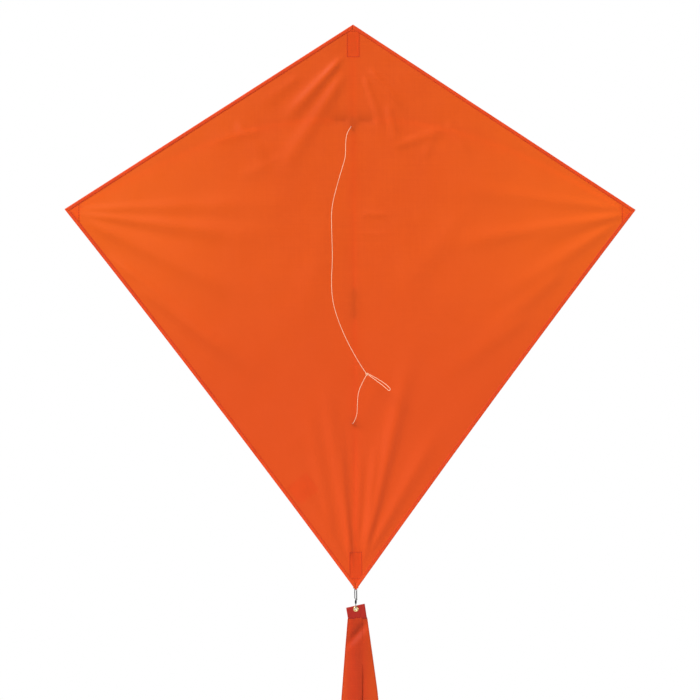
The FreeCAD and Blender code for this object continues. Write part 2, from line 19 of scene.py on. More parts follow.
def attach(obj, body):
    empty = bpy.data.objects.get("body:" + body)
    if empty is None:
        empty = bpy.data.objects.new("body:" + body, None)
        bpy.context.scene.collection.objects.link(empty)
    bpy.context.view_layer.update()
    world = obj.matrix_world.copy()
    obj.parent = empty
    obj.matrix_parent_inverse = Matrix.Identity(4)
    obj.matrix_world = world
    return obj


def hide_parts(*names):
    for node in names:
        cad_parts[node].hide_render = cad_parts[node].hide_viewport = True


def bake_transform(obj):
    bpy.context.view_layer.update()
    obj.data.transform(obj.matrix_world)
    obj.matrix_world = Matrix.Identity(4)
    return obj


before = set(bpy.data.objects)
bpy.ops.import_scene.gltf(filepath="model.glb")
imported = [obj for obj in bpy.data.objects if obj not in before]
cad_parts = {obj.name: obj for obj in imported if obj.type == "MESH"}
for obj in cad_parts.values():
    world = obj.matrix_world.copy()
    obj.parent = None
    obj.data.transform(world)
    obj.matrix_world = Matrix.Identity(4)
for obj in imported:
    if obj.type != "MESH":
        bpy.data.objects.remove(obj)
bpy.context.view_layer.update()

logging.basicConfig(level=logging.INFO, format="%(name)s: %(message)s")
log = logging.getLogger("kite")

MM = 0.001
WELD = 1e-7
FINE_PITCH = 0.0026
SPINE = "spine_frame"
Shell = tuple[np.ndarray, np.ndarray]
Colour = tuple[float, float, float]
Table = tuple[tuple[float, ...], ...]


class Side(Enum):
    """The two halves of the kite, each with the sign of its x."""

    LEFT = -1.0
    RIGHT = 1.0

    @property
    def label(self) -> str:
        """The half's name, as the frame's nodes start with."""
        return self.name.lower()

    @property
    def wing(self) -> str:
        """The body that this half of the sail folds with."""
        return self.label + "_wing"


class Edge(Enum):
    """The sail's two hemmed edges on each half, each with the way in from it along z."""

    LEADING = -1.0
    TRAILING = 1.0


class Slot(Enum):
    """The record's material slots."""

    SAIL = "sail_cloth"
    HEM = "hem_cloth"
    TAIL = "tail_cloth"
    ROD = "rod_fibreglass"
    VINYL = "black_vinyl"
    FERRULE = "ferrule_black"
    CAP = "cap_vinyl"
    LINE = "bridle_line"
    LABEL = "label_cloth"
    TAB = "tab_tape"
    STEEL = "snap_steel"
    NICKEL = "black_nickel"
    BRASS = "brass"


# ---- shading ---------------------------------------------------------------------------------


class Tree:
    """Short ways to add and join the nodes of one shader tree."""

    def __init__(self, tree: bpy.types.NodeTree) -> None:
        """Args:
            tree: the node tree to add to.
        """
        self.tree = tree

    def add(self, kind: str, settings: dict | None = None, **sockets: object) -> bpy.types.Node:
        """Adds a node.

        Args:
            kind: the node type's name after "ShaderNode".
            settings: its own properties.
            sockets: its inputs by name, with _ for a space, each a value or a socket to join.

        Returns:
            The node.
        """
        made = self.tree.nodes.new("ShaderNode" + kind)
        for name, value in (settings or {}).items():
            setattr(made, name, value)
        for name, value in sockets.items():
            self.join(made.inputs[name.replace("_", " ")], value)
        return made

    def join(self, socket: bpy.types.NodeSocket, value: object) -> None:
        """Feeds an input from another node's output, or sets its value."""
        if isinstance(value, bpy.types.NodeSocket):
            self.tree.links.new(value, socket)
        elif isinstance(value, tuple) and len(value) == 3 and socket.type == "RGBA":
            socket.default_value = (*value, 1.0)
        else:
            socket.default_value = value

    def maths(self, operation: str, *values: object) -> bpy.types.NodeSocket:
        """Returns the result of one Math node on these values or sockets."""
        made = self.add("Math", {"operation": operation})
        for socket, value in zip(made.inputs, values):
            self.join(socket, value)
        return made.outputs[0]

    def mix(self, share: object, low: object, high: object) -> bpy.types.NodeSocket:
        """Returns a colour between low and high."""
        made = self.add("Mix", {"data_type": "RGBA"})
        for index, value in ((0, share), (6, low), (7, high)):
            self.join(made.inputs[index], value)
        return made.outputs[2]

    def spread(self, value: object, *ends: object) -> bpy.types.NodeSocket:
        """Returns value moved from the first two ends to the last two, and kept between them."""
        made = self.add("MapRange", {"interpolation_type": "SMOOTHSTEP"})
        for index, end in enumerate((value, *ends)):
            self.join(made.inputs[index], end)
        return made.outputs[0]

    def noise(self, place: object, scale: object, detail: float = 3.0) -> bpy.types.NodeSocket:
        """Returns a noise value, about 0.3 to 0.7, at place times scale per metre."""
        made = self.add("TexNoise", None, Vector=place, Scale=scale, Detail=detail)
        return made.outputs["Fac"]

    def stretched(self, place: object, along: tuple[float, float, float]) -> bpy.types.NodeSocket:
        """Returns place with each axis multiplied by its own number."""
        return self.add("Mapping", None, Vector=place, Scale=along).outputs[0]


def shader_group(name: str, inputs: dict[str, str], outputs: dict[str, str]) -> tuple:
    """Starts a shared group of nodes.

    Args:
        name: the group's name.
        inputs: its inputs' names and socket types.
        outputs: the same for its outputs.

    Returns:
        The group's tree, its helper, the sockets given to it and those that it puts out.
    """
    tree = bpy.data.node_groups.new(name, "ShaderNodeTree")
    for way, sockets in (("INPUT", inputs), ("OUTPUT", outputs)):
        for label, kind in sockets.items():
            tree.interface.new_socket(label, in_out=way, socket_type="NodeSocket" + kind)
    helper = Tree(tree)
    entry, end = tree.nodes.new("NodeGroupInput"), tree.nodes.new("NodeGroupOutput")
    return tree, helper, entry.outputs, end.inputs


def weave_group() -> bpy.types.NodeTree:
    """A plain weave: the height of crossing threads, and each thread's own slight tone.

    Height is half of one plus the sine across the warp times the sine across the weft. Tone is
    the mean of two noises, one drawn out along the warp and one along the weft.
    """
    tree, t, given, out = shader_group(
        "plain_weave", {"Vector": "Vector", "Thread": "Float"},
        {"Height": "Float", "Tone": "Float"})
    fineness, detail = 700.0, 2.0
    parts = t.add("SeparateXYZ", None, Vector=given["Vector"])
    turn = t.maths("DIVIDE", 2 * math.pi, given["Thread"])
    warp = t.maths("SINE", t.maths("MULTIPLY", parts.outputs["X"], turn))
    weft = t.maths("SINE", t.maths("MULTIPLY", parts.outputs["Z"], turn))
    height = t.maths("MULTIPLY_ADD", t.maths("MULTIPLY", warp, weft), 0.5, 0.5)
    down = t.noise(t.stretched(given["Vector"], (1.0, 0.2, 0.02)), fineness, detail)
    over = t.noise(t.stretched(given["Vector"], (0.02, 0.2, 1.0)), fineness, detail)
    t.join(out["Height"], height)
    t.join(out["Tone"], t.maths("MULTIPLY_ADD", t.maths("ADD", down, over), 0.5, 0.0))
    return tree


def mottle_group() -> bpy.types.NodeTree:
    """Soft patches between two values, from a coarse noise broken up by a fine one."""
    tree, t, given, out = shader_group(
        "soft_mottle", {"Vector": "Vector", "Scale": "Float", "Low": "Float", "High": "Float"},
        {"Value": "Float"})
    finer, fine_share, lowest, highest = 9.0, 0.35, 0.35, 0.65
    coarse = t.noise(given["Vector"], given["Scale"], 2.0)
    fine = t.noise(given["Vector"], t.maths("MULTIPLY", given["Scale"], finer), 4.0)
    both = t.maths("MULTIPLY_ADD", fine, fine_share, t.maths("MULTIPLY", coarse, 1 - fine_share))
    t.join(out["Value"], t.spread(both, lowest, highest, given["Low"], given["High"]))
    return tree


def rub_group() -> bpy.types.NodeTree:
    """Rubbed streaks and pinprick grain for hard finishes: a height, and a mask of worn places."""
    tree, t, given, out = shader_group(
        "rub_and_grain", {"Vector": "Vector", "Scale": "Float"},
        {"Height": "Float", "Worn": "Float"})
    unworn, worn = 0.58, 0.72
    grain = t.noise(given["Vector"], given["Scale"], 4.0)
    streak = t.noise(t.stretched(given["Vector"], (0.15, 0.6, 1.0)), given["Scale"], 2.0)
    t.join(out["Height"], t.maths("MULTIPLY", t.maths("ADD", grain, streak), 0.5))
    t.join(out["Worn"], t.spread(streak, unworn, worn, 0.0, 1.0))
    return tree


WEAVE, MOTTLE, RUB = weave_group(), mottle_group(), rub_group()


def finish_tree(name: str) -> tuple[bpy.types.Material, Tree, bpy.types.NodeSocket, bpy.types.Node]:
    """Starts a material.

    Args:
        name: the material's name.

    Returns:
        The material, its helper, the object coordinates and the output node.
    """
    material = bpy.data.materials.new(name)
    material.use_nodes = True
    material.node_tree.nodes.clear()
    t = Tree(material.node_tree)
    place = t.add("TexCoord").outputs["Object"]
    return material, t, place, t.add("OutputMaterial")


def of_group(t: Tree, tree: bpy.types.NodeTree, **sockets: object) -> bpy.types.Node:
    """Returns a shared group placed in a material with its own values."""
    made = t.add("Group", {"node_tree": tree})
    for name, value in sockets.items():
        t.join(made.inputs[name], value)
    return made


@dataclass(frozen=True)
class ClothFinish:
    """Woven nylon or polyester, thin enough to let light through."""

    name: str
    slot: Slot
    colour: Colour
    shade: Colour
    through: float = 0.35
    thread: float = 0.0006
    weave_depth: float = 0.00003
    crinkle: float = 0.00012
    roughness: tuple[float, float] = (0.46, 0.60)
    # The next four fields paint light and shade into the colour: a lighter colour mixed in further
    # out in x, and a darker one mixed in lower down.
    painted_outward_light: Colour | None = None
    painted_light_span: tuple[float, float] = (0.04, 0.38)
    painted_low_shade: Colour | None = None
    painted_shade_span: tuple[float, float] = (-0.12, -0.42)

    def make(self) -> bpy.types.Material:
        """Returns the material: colour from mottle and thread tone plus painted light and shade,
        bump from weave and crinkle.
        """
        material, t, place, out = finish_tree(self.name)
        weave = of_group(t, WEAVE, Vector=place, Thread=self.thread)
        patches = of_group(t, MOTTLE, Vector=place, Scale=14.0, Low=0.0, High=1.0)
        tone = t.maths("MULTIPLY_ADD", weave.outputs["Tone"], 0.8,
                       t.maths("MULTIPLY", patches.outputs["Value"], 0.2))
        colour = t.mix(t.spread(tone, 0.2, 0.8, 0.0, 1.0), self.shade, self.colour)
        # Painted light: a lighter colour mixed in further out from the middle in x.
        if self.painted_outward_light:
            parts = t.add("SeparateXYZ", None, Vector=place)
            out_wing = t.maths("ABSOLUTE", parts.outputs["X"])
            colour = t.mix(t.spread(out_wing, *self.painted_light_span, 0.0, 1.0), colour, self.painted_outward_light)
            # Painted shade: a darker colour mixed in lower down.
            if self.painted_low_shade:
                down = t.spread(parts.outputs["Z"], *self.painted_shade_span, 0.0, 1.0)
                colour = t.mix(down, colour, self.painted_low_shade)
        rough = of_group(t, MOTTLE, Vector=place, Scale=40.0, Low=self.roughness[0],
                         High=self.roughness[1])
        fine = t.add("Bump", None, Strength=0.5, Distance=self.weave_depth,
                     Height=weave.outputs["Height"])
        creased = t.add("Bump", None, Strength=0.6, Distance=self.crinkle,
                        Height=t.noise(place, 160.0, 4.0), Normal=fine.outputs[0])
        face = t.add("BsdfPrincipled", None, Base_Color=colour, Roughness=rough.outputs["Value"],
                     Normal=creased.outputs[0], Specular_IOR_Level=0.22)
        behind = t.add("BsdfTranslucent", None, Color=colour, Normal=creased.outputs[0])
        both = t.add("MixShader", None, Fac=self.through)
        t.join(both.inputs[1], face.outputs[0])
        t.join(both.inputs[2], behind.outputs[0])
        t.join(out.inputs["Surface"], both.outputs[0])
        return material


@dataclass(frozen=True)
class MouldedFinish:
    """Soft vinyl or a smooth plastic tube, with a fine skin grain and rubbed places."""

    name: str
    slot: Slot
    colour: Colour
    worn: Colour
    roughness: tuple[float, float] = (0.42, 0.62)
    grain: float = 2500.0
    depth: float = 0.00004
    coat: float = 0.0
    streaks: tuple[float, float, float] = (1.0, 1.0, 1.0)

    def make(self) -> bpy.types.Material:
        """Returns the material: rubbed places lighten the colour and change the gloss."""
        material, t, place, out = finish_tree(self.name)
        place = t.stretched(place, self.streaks)
        rub = of_group(t, RUB, Vector=place, Scale=self.grain)
        colour = t.mix(t.maths("MULTIPLY", rub.outputs["Worn"], 0.6), self.colour, self.worn)
        rough = of_group(t, MOTTLE, Vector=place, Scale=self.grain / 8, Low=self.roughness[0],
                         High=self.roughness[1])
        bump = t.add("Bump", None, Strength=0.5, Distance=self.depth, Height=rub.outputs["Height"])
        face = t.add("BsdfPrincipled", None, Base_Color=colour, Roughness=rough.outputs["Value"],
                     Normal=bump.outputs[0], Coat_Weight=self.coat, Coat_Roughness=0.15)
        t.join(out.inputs["Surface"], face.outputs[0])
        return material


@dataclass(frozen=True)
class MetalFinish:
    """Plated or rolled metal, with fine drawing marks and duller handled places."""

    name: str
    slot: Slot
    colour: Colour
    dull: Colour
    roughness: tuple[float, float] = (0.16, 0.34)

    def make(self) -> bpy.types.Material:
        """Returns the material: mottled tarnish in the colour, and marks in the bump."""
        material, t, place, out = finish_tree(self.name)
        rub = of_group(t, RUB, Vector=place, Scale=1800.0)
        tarnish = of_group(t, MOTTLE, Vector=place, Scale=260.0, Low=0.0, High=0.7)
        rough = of_group(t, MOTTLE, Vector=place, Scale=500.0, Low=self.roughness[0],
                         High=self.roughness[1])
        bump = t.add("Bump", None, Strength=0.3, Distance=0.00002, Height=rub.outputs["Height"])
        face = t.add("BsdfPrincipled", None, Metallic=1.0, Normal=bump.outputs[0],
                     Base_Color=t.mix(tarnish.outputs["Value"], self.colour, self.dull),
                     Roughness=rough.outputs["Value"])
        t.join(out.inputs["Surface"], face.outputs[0])
        return material


@dataclass(frozen=True)
class ThreadFinish:
    """Spun thread and twisted line, whose strands are in the mesh and whose fibres are here."""

    name: str
    slot: Slot
    colour: Colour
    shade: Colour
    roughness: tuple[float, float] = (0.5, 0.7)
    sheen: float = 0.2
    gloss: float = 0.5

    def make(self) -> bpy.types.Material:
        """Returns the material: fibres as fine drawn-out noise in the colour and the bump."""
        material, t, place, out = finish_tree(self.name)
        fibres = t.noise(t.stretched(place, (1.0, 1.0, 0.25)), 5200.0, 3.0)
        soil = of_group(t, MOTTLE, Vector=place, Scale=60.0, Low=0.0, High=0.5)
        share = t.maths("MULTIPLY_ADD", t.spread(fibres, 0.3, 0.7, 0.0, 0.5), 1.0,
                        soil.outputs["Value"])
        rough = of_group(t, MOTTLE, Vector=place, Scale=900.0, Low=self.roughness[0],
                         High=self.roughness[1])
        bump = t.add("Bump", None, Strength=0.4, Distance=0.00004, Height=fibres)
        face = t.add("BsdfPrincipled", None, Base_Color=t.mix(share, self.colour, self.shade),
                     Roughness=rough.outputs["Value"], Normal=bump.outputs[0],
                     Sheen_Weight=self.sheen, Specular_IOR_Level=self.gloss)
        t.join(out.inputs["Surface"], face.outputs[0])
        return material


# The sail's colour has painted light towards the wing tips and painted shade towards the bottom.
SAIL_CLOTH = ClothFinish("sail_cloth", Slot.SAIL, (0.75, 0.092, 0.007), (0.71, 0.081, 0.006),
                         through=0.5, painted_outward_light=(0.80, 0.112, 0.007),
                         painted_low_shade=(0.70, 0.074, 0.008))
HEM_CLOTH = ClothFinish("hem_cloth", Slot.HEM, (0.78, 0.082, 0.009), (0.68, 0.060, 0.008),
                        through=0.42)
# The tail's colour has painted light towards its two side edges.
TAIL_CLOTH = ClothFinish("tail_cloth", Slot.TAIL, (0.62, 0.058, 0.010), (0.56, 0.046, 0.009),
                         through=0.50, painted_outward_light=(0.64, 0.078, 0.009), painted_light_span=(0.004, 0.024))
TAIL_HEM_CLOTH = ClothFinish("tail_hem_cloth", Slot.TAIL, (0.36, 0.017, 0.008),
                             (0.30, 0.013, 0.007), through=0.20)
POCKET_CLOTH = ClothFinish("pocket_cloth", Slot.HEM, (0.93, 0.185, 0.014), (0.88, 0.155, 0.012),
                           through=0.45)
LABEL_CLOTH = ClothFinish("label_cloth", Slot.LABEL, (0.95, 0.94, 0.92), (0.91, 0.90, 0.88),
                          through=0.72, thread=0.0005)
TAB_TAPE = ClothFinish("tab_tape", Slot.TAB, (0.62, 0.055, 0.014), (0.50, 0.04, 0.012),
                       through=0.1, thread=0.0004)
SEAM_THREAD = ThreadFinish("seam_thread", Slot.HEM, (0.50, 0.040, 0.008), (0.40, 0.028, 0.006),
                           sheen=0.0, gloss=0.15)
PALE_THREAD = ThreadFinish("label_thread", Slot.LABEL, (0.78, 0.77, 0.74), (0.66, 0.65, 0.62))
TAIL_THREAD = ThreadFinish("tail_thread", Slot.TAIL, (0.34, 0.020, 0.008), (0.26, 0.014, 0.006),
                           sheen=0.0, gloss=0.15)
LINE = ThreadFinish("bridle_line", Slot.LINE, (0.78, 0.50, 0.34), (0.60, 0.36, 0.22), gloss=0.2)
FIBREGLASS = MouldedFinish("rod_fibreglass", Slot.ROD, (0.90, 0.88, 0.82), (0.78, 0.75, 0.67),
                           roughness=(0.25, 0.42), grain=1800.0, depth=0.00005, coat=0.25,
                           streaks=(1.0, 1.0, 0.05))
FIBREGLASS_ACROSS = MouldedFinish("rod_fibreglass_across", Slot.ROD, (0.80, 0.77, 0.68),
                                  (0.64, 0.60, 0.50), roughness=(0.25, 0.42), grain=1800.0,
                                  depth=0.00005, coat=0.25, streaks=(0.05, 1.0, 0.3))
VINYL = MouldedFinish("black_vinyl", Slot.VINYL, (0.018, 0.018, 0.020), (0.06, 0.06, 0.062))
FERRULE = MouldedFinish("ferrule_black", Slot.FERRULE, (0.025, 0.025, 0.025), (0.07, 0.07, 0.07),
                        roughness=(0.28, 0.42), coat=0.2)
CAP_VINYL = MouldedFinish("cap_vinyl", Slot.CAP, (0.73, 0.71, 0.65), (0.60, 0.57, 0.50))
STEEL = MetalFinish("snap_steel", Slot.STEEL, (0.34, 0.33, 0.33), (0.18, 0.18, 0.18))
NICKEL = MetalFinish("black_nickel", Slot.NICKEL, (0.020, 0.017, 0.020), (0.010, 0.008, 0.010),
                     roughness=(0.45, 0.65))
BRASS = MetalFinish("brass", Slot.BRASS, (0.86, 0.64, 0.30), (0.52, 0.32, 0.13),
                    roughness=(0.18, 0.4))

Finish = ClothFinish | MouldedFinish | MetalFinish | ThreadFinish
_made: dict[str, bpy.types.Material] = {}


def material_of(finish: Finish) -> bpy.types.Material:
    """Returns a finish's material, which is made the first time it is asked for."""
    if finish.name not in _made:
        _made[finish.name] = finish.make()
    return _made[finish.name]


# ---- meshes ----------------------------------------------------------------------------------


def lattice(points: np.ndarray, wrap: bool = False, flip: bool = False) -> Shell:
    """Faces a grid of points.

    Args:
        points: rows by columns by 3.
        wrap: True if the last column joins the first, as round a tube.
        flip: True to turn the faces over.

    Returns:
        The points in one list, and four indices for each face.
    """
    rows, columns = points.shape[:2]
    index = np.arange(rows * columns).reshape(rows, columns)
    if wrap:
        index = np.hstack([index, index[:, :1]])
    quads = np.stack([index[:-1, :-1], index[:-1, 1:], index[1:, 1:], index[1:, :-1]], -1)
    quads = quads.reshape(-1, 4)
    return points.reshape(-1, 3), quads[:, ::-1] if flip else quads


def closed_tube(rings: np.ndarray) -> Shell:
    """A tube through rings of points, with each end ring filled by a row of quads.

    Args:
        rings: rings by points round each by 3, with an even number round each.

    Returns:
        The tube's points and faces.
    """
    points, quads = lattice(rings, wrap=True)
    count, around = rings.shape[:2]
    first = np.arange(around // 2 - 1)
    cap = np.stack([first, first + 1, around - 2 - first, around - 1 - first], -1)
    far = cap + (count - 1) * around
    return points, np.vstack([quads, cap, far])


def joined(shells: list[Shell]) -> Shell:
    """Returns several shells as one list of points and one of faces."""
    starts = np.cumsum([0] + [len(points) for points, _ in shells[:-1]])
    return (np.vstack([points for points, _ in shells]),
            np.vstack([faces + start for (_, faces), start in zip(shells, starts)]))


def unit(vectors: np.ndarray) -> np.ndarray:
    """Returns vectors at length one."""
    return vectors / np.linalg.norm(vectors, axis=-1, keepdims=True)


def tangents(path: np.ndarray) -> np.ndarray:
    """Returns a path's direction at each of its points, from its neighbours."""
    return unit(np.gradient(path, axis=0))


def rings_on(path: np.ndarray, side: np.ndarray, rise: np.ndarray,
             profile: np.ndarray) -> np.ndarray:
    """Returns a profile at each point of a path, its two numbers taken along side and rise."""
    return path[:, None] + side[:, None] * profile[..., :1] + rise[:, None] * profile[..., 1:]


def swept(path: np.ndarray, profile: np.ndarray, toward: tuple[float, float, float]) -> np.ndarray:
    """Carries a profile along a path.

    Each ring is the path's point plus the profile's first number along the side, which is the
    direction crossed with toward, plus its second number along the direction crossed with the side.

    Args:
        path: points by 3.
        profile: points round by 2, or rings by points round by 2 where it changes along the path.
        toward: a direction that the path never runs along.

    Returns:
        Rings by points round by 3.
    """
    ahead = tangents(path)
    side = unit(np.cross(ahead, np.array(toward)))
    return rings_on(path, side, np.cross(side, ahead), profile)


def circle(sides: int) -> np.ndarray:
    """Returns a circle of radius one as points by 2."""
    angle = np.arange(sides) * 2 * math.pi / sides
    return np.stack([np.cos(angle), np.sin(angle)], -1)


def smoothstep(low: float, high: float, value: np.ndarray) -> np.ndarray:
    """Returns 0 below low, 1 above high and a smooth rise between them."""
    share = np.clip((value - low) / (high - low), 0.0, 1.0)
    return share * share * (3.0 - 2.0 * share)


BEAD_RINGS = np.array([(-0.5, 0.35), (-0.3, 1.0), (0.3, 1.0), (0.5, 0.35)])


def stitches(centres: np.ndarray, along: np.ndarray, length: float,
             width: float = 0.72 * MM) -> Shell:
    """Rows of stitches, each a small hexagonal bead that narrows at its ends.

    A bead's point is its centre, plus its length along the seam, plus a hexagon's two numbers
    across the seam and out from the cloth.

    Args:
        centres: stitches by 3.
        along: the seam's direction at each stitch.
        length: one stitch's length.
        width: how wide the thread is.

    Returns:
        All the beads' points and faces.
    """
    across = unit(np.cross(along, (0.0, 1.0, 0.0)))
    outward = np.cross(across, along)
    hexagon = circle(6) * width / 2
    size = BEAD_RINGS[:, 1][None, :, None, None]
    points = (centres[:, None, None]
              + along[:, None, None] * (BEAD_RINGS[:, 0] * length)[None, :, None, None]
              + across[:, None, None] * hexagon[None, None, :, :1] * size
              + outward[:, None, None] * hexagon[None, None, :, 1:] * size)
    _, quads = closed_tube(points[0])
    starts = np.arange(len(centres)) * points[0, ..., 0].size
    return points.reshape(-1, 3), (quads[None] + starts[:, None, None]).reshape(-1, 4)


def lathe(profile: np.ndarray, centre: tuple[float, float, float], sides: int = 40) -> Shell:
    """Turns a closed profile round a line along y.

    Args:
        profile: points by 2: the distance along the line and the radius.
        centre: the point on the line that distances start from.
        sides: points in each ring.

    Returns:
        The ring's points and faces, with its first and last profile points joined.
    """
    ring = circle(sides)
    along = np.broadcast_to(profile[:, None, 0], (len(profile), sides))
    radius = profile[:, None, 1]
    points = np.stack([radius * ring[:, 0], along, radius * ring[:, 1]], -1) + np.array(centre)
    return lattice(np.concatenate([points, points[:1]]), wrap=True)


def publish(name: str, shells: list[Shell], finish: Finish, closed: bool = True,
            thickness: float = 0.0) -> bpy.types.Object:
    """Makes a piece.

    Args:
        name: the piece's name.
        shells: what its mesh is made of.
        finish: its finish, which also names its slot.
        closed: True if each shell is closed, so that its faces are turned outwards.
        thickness: a wall to give to an open sheet, half on each side.

    Returns:
        The piece, at the origin, with smooth shading.
    """
    points, quads = joined(shells)
    mesh = bpy.data.meshes.new(name)
    mesh.vertices.add(len(points))
    mesh.vertices.foreach_set("co", points.astype(np.float32).ravel())
    mesh.loops.add(quads.size)
    mesh.loops.foreach_set("vertex_index", quads.astype(np.int32).ravel())
    mesh.polygons.add(len(quads))
    mesh.polygons.foreach_set("loop_start", np.arange(len(quads), dtype=np.int32) * 4)
    mesh.update(calc_edges=True)
    mesh.validate()
    if closed:
        work = bmesh.new()
        work.from_mesh(mesh)
        bmesh.ops.remove_doubles(work, verts=work.verts, dist=WELD)
        bmesh.ops.recalc_face_normals(work, faces=work.faces)
        work.to_mesh(mesh)
        work.free()
    mesh.polygons.foreach_set("use_smooth", np.ones(len(mesh.polygons), dtype=bool))
    piece = bpy.data.objects.new(name, mesh)
    bpy.context.scene.collection.objects.link(piece)
    if thickness:
        wall = piece.modifiers.new("cloth_thickness", "SOLIDIFY")
        wall.thickness, wall.offset = thickness, 0.0
    mesh.materials.append(material_of(finish))
    log.info("%s: %d points, %d faces, %s", name, len(mesh.vertices), len(mesh.polygons),
             finish.name)
    return piece


# ---- view ------------------------------------------------------------------------------------


@dataclass
class Studio:
    """The camera in front of the kite, the soft lights, the white surroundings and a pale floor."""

    look_at: tuple[float, float] = (-0.00588, -0.30654)
    distance: float = 2.0
    turn: float = 4.06
    tilt: float = -0.34
    roll: float = -0.285
    lens: float = 76.83
    sensor: float = 36.0
    sees_to: float = 50.0
    floor_height: float = -1.60
    floor_radius: float = 2.2
    front_glow: float = 0.65
    back_glow: float = 0.25
    glow_edge: float = 0.8
    lamp_spread: float = 22.0
    lamps: tuple = (("key", (-1.2, -1.15, 1.35), 4.9), ("fill", (1.6, -1.6, -0.1), 0.35),
                    ("back", (1.0, 1.6, 1.2), 0.25))

    def camera(self) -> None:
        """Stands the camera a little to the kite's left, almost level, with a long lens."""
        turn, tilt, roll = (math.radians(a) for a in (self.turn, self.tilt, self.roll))
        ahead = Vector((math.sin(turn) * math.cos(tilt), math.cos(turn) * math.cos(tilt),
                        math.sin(tilt)))
        right = Vector((math.cos(turn), -math.sin(turn), 0.0))
        rise = right.cross(ahead)
        right, rise = (right * math.cos(roll) + rise * math.sin(roll),
                       rise * math.cos(roll) - right * math.sin(roll))
        data = bpy.data.cameras.new("camera")
        data.lens, data.sensor_width, data.clip_end = self.lens, self.sensor, self.sees_to
        made = bpy.data.objects.new("camera", data)
        place = Vector((self.look_at[0], 0.0, self.look_at[1])) - ahead * self.distance
        turned = Matrix((right, rise, -ahead)).transposed().to_4x4()
        made.matrix_world = Matrix.Translation(place) @ turned
        bpy.context.scene.collection.objects.link(made)
        bpy.context.scene.camera = made

    def lamp(self, name: str, place: tuple[float, float, float], power: float) -> None:
        """Adds a far, soft lamp that lights the whole kite evenly.

        Args:
            name: the lamp's name.
            place: the direction that it shines from.
            power: its strength.
        """
        data = bpy.data.lights.new(name, "SUN")
        data.energy, data.angle = power, math.radians(self.lamp_spread)
        made = bpy.data.objects.new(name, data)
        made.rotation_euler = Vector(place).to_track_quat("Z", "Y").to_euler()
        bpy.context.scene.collection.objects.link(made)

    def surroundings(self) -> None:
        """White to look at all round, but lighting the kite more from in front than behind."""
        world = bpy.data.worlds.new("studio")
        world.use_nodes = True
        world.node_tree.nodes.clear()
        t = Tree(world.node_tree)
        seen = t.add("LightPath").outputs["Is Camera Ray"]
        heading = t.add("TexCoord").outputs["Generated"]
        away = t.add("SeparateXYZ", None, Vector=heading).outputs["Y"]
        glow = t.spread(away, -self.glow_edge, self.glow_edge, self.front_glow, self.back_glow)
        strength = t.maths("MAXIMUM", glow, seen)
        sky = t.add("Background", None, Color=(1.0, 1.0, 1.0), Strength=strength)
        t.join(t.add("OutputWorld").inputs["Surface"], sky.outputs[0])
        bpy.context.scene.world = world
        bpy.context.scene.view_settings.view_transform = "Standard"

    def floor(self) -> None:
        """A round pale floor below the tail, as rings from its middle to its rim."""
        rings, sides, hub = 8, 96, 0.02
        radius = np.linspace(hub, self.floor_radius, rings)[:, None, None]
        flat = radius * circle(sides)[None]
        points = np.concatenate([flat, np.full(flat.shape[:2] + (1,), self.floor_height)], -1)
        material, t, place, out = finish_tree("pale_floor")
        tone = of_group(t, MOTTLE, Vector=place, Scale=3.0, Low=0.0, High=1.0)
        colour = t.mix(tone.outputs["Value"], (0.86, 0.86, 0.85), (0.90, 0.90, 0.89))
        face = t.add("BsdfPrincipled", None, Roughness=0.75, Base_Color=colour)
        t.join(out.inputs["Surface"], face.outputs[0])
        shell_points, quads = lattice(points, wrap=True, flip=True)
        mesh = bpy.data.meshes.new("floor")
        mesh.from_pydata(shell_points.tolist(), [], quads.tolist() + [list(range(sides))])
        mesh.materials.append(material)
        made = bpy.data.objects.new("floor", mesh)
        bpy.context.scene.collection.objects.link(made)

    def build(self) -> None:
        """Sets everything up."""
        self.camera()
        for name, place, power in self.lamps:
            self.lamp(name, place, power)
        self.surroundings()
        self.floor()


# ---- bridle ----------------------------------------------------------------------------------


LINE_DIAMETER, LAY_LENGTH, STRANDS = 0.0007, 0.0024, 3


def run_along(path: np.ndarray) -> np.ndarray:
    """Returns how far along a path each of its points lies."""
    return np.concatenate([[0.0], np.cumsum(np.linalg.norm(np.diff(path, axis=0), axis=1))])


def laid_up(path: np.ndarray, toward: tuple[float, float, float], sides: int = 12) -> np.ndarray:
    """The surface of a 0.7 mm twisted line, three strands laid up in one.

    Its radius is 0.9 of the nominal one, plus 0.08 of it times a wave with a crest for each
    strand. The crests turn once in each lay length.

    Args:
        path: points by 3.
        toward: a direction that the path never runs along.
        sides: points in each ring.

    Returns:
        Rings by points round by 3.
    """
    angle = np.arange(sides) * 2 * math.pi / sides
    turned = 2 * math.pi * run_along(path)[:, None] / LAY_LENGTH
    radius = LINE_DIAMETER / 2 * (0.90 + 0.08 * np.cos(STRANDS * (angle[None] - turned)))
    return swept(path, circle(sides)[None] * radius[..., None], toward)


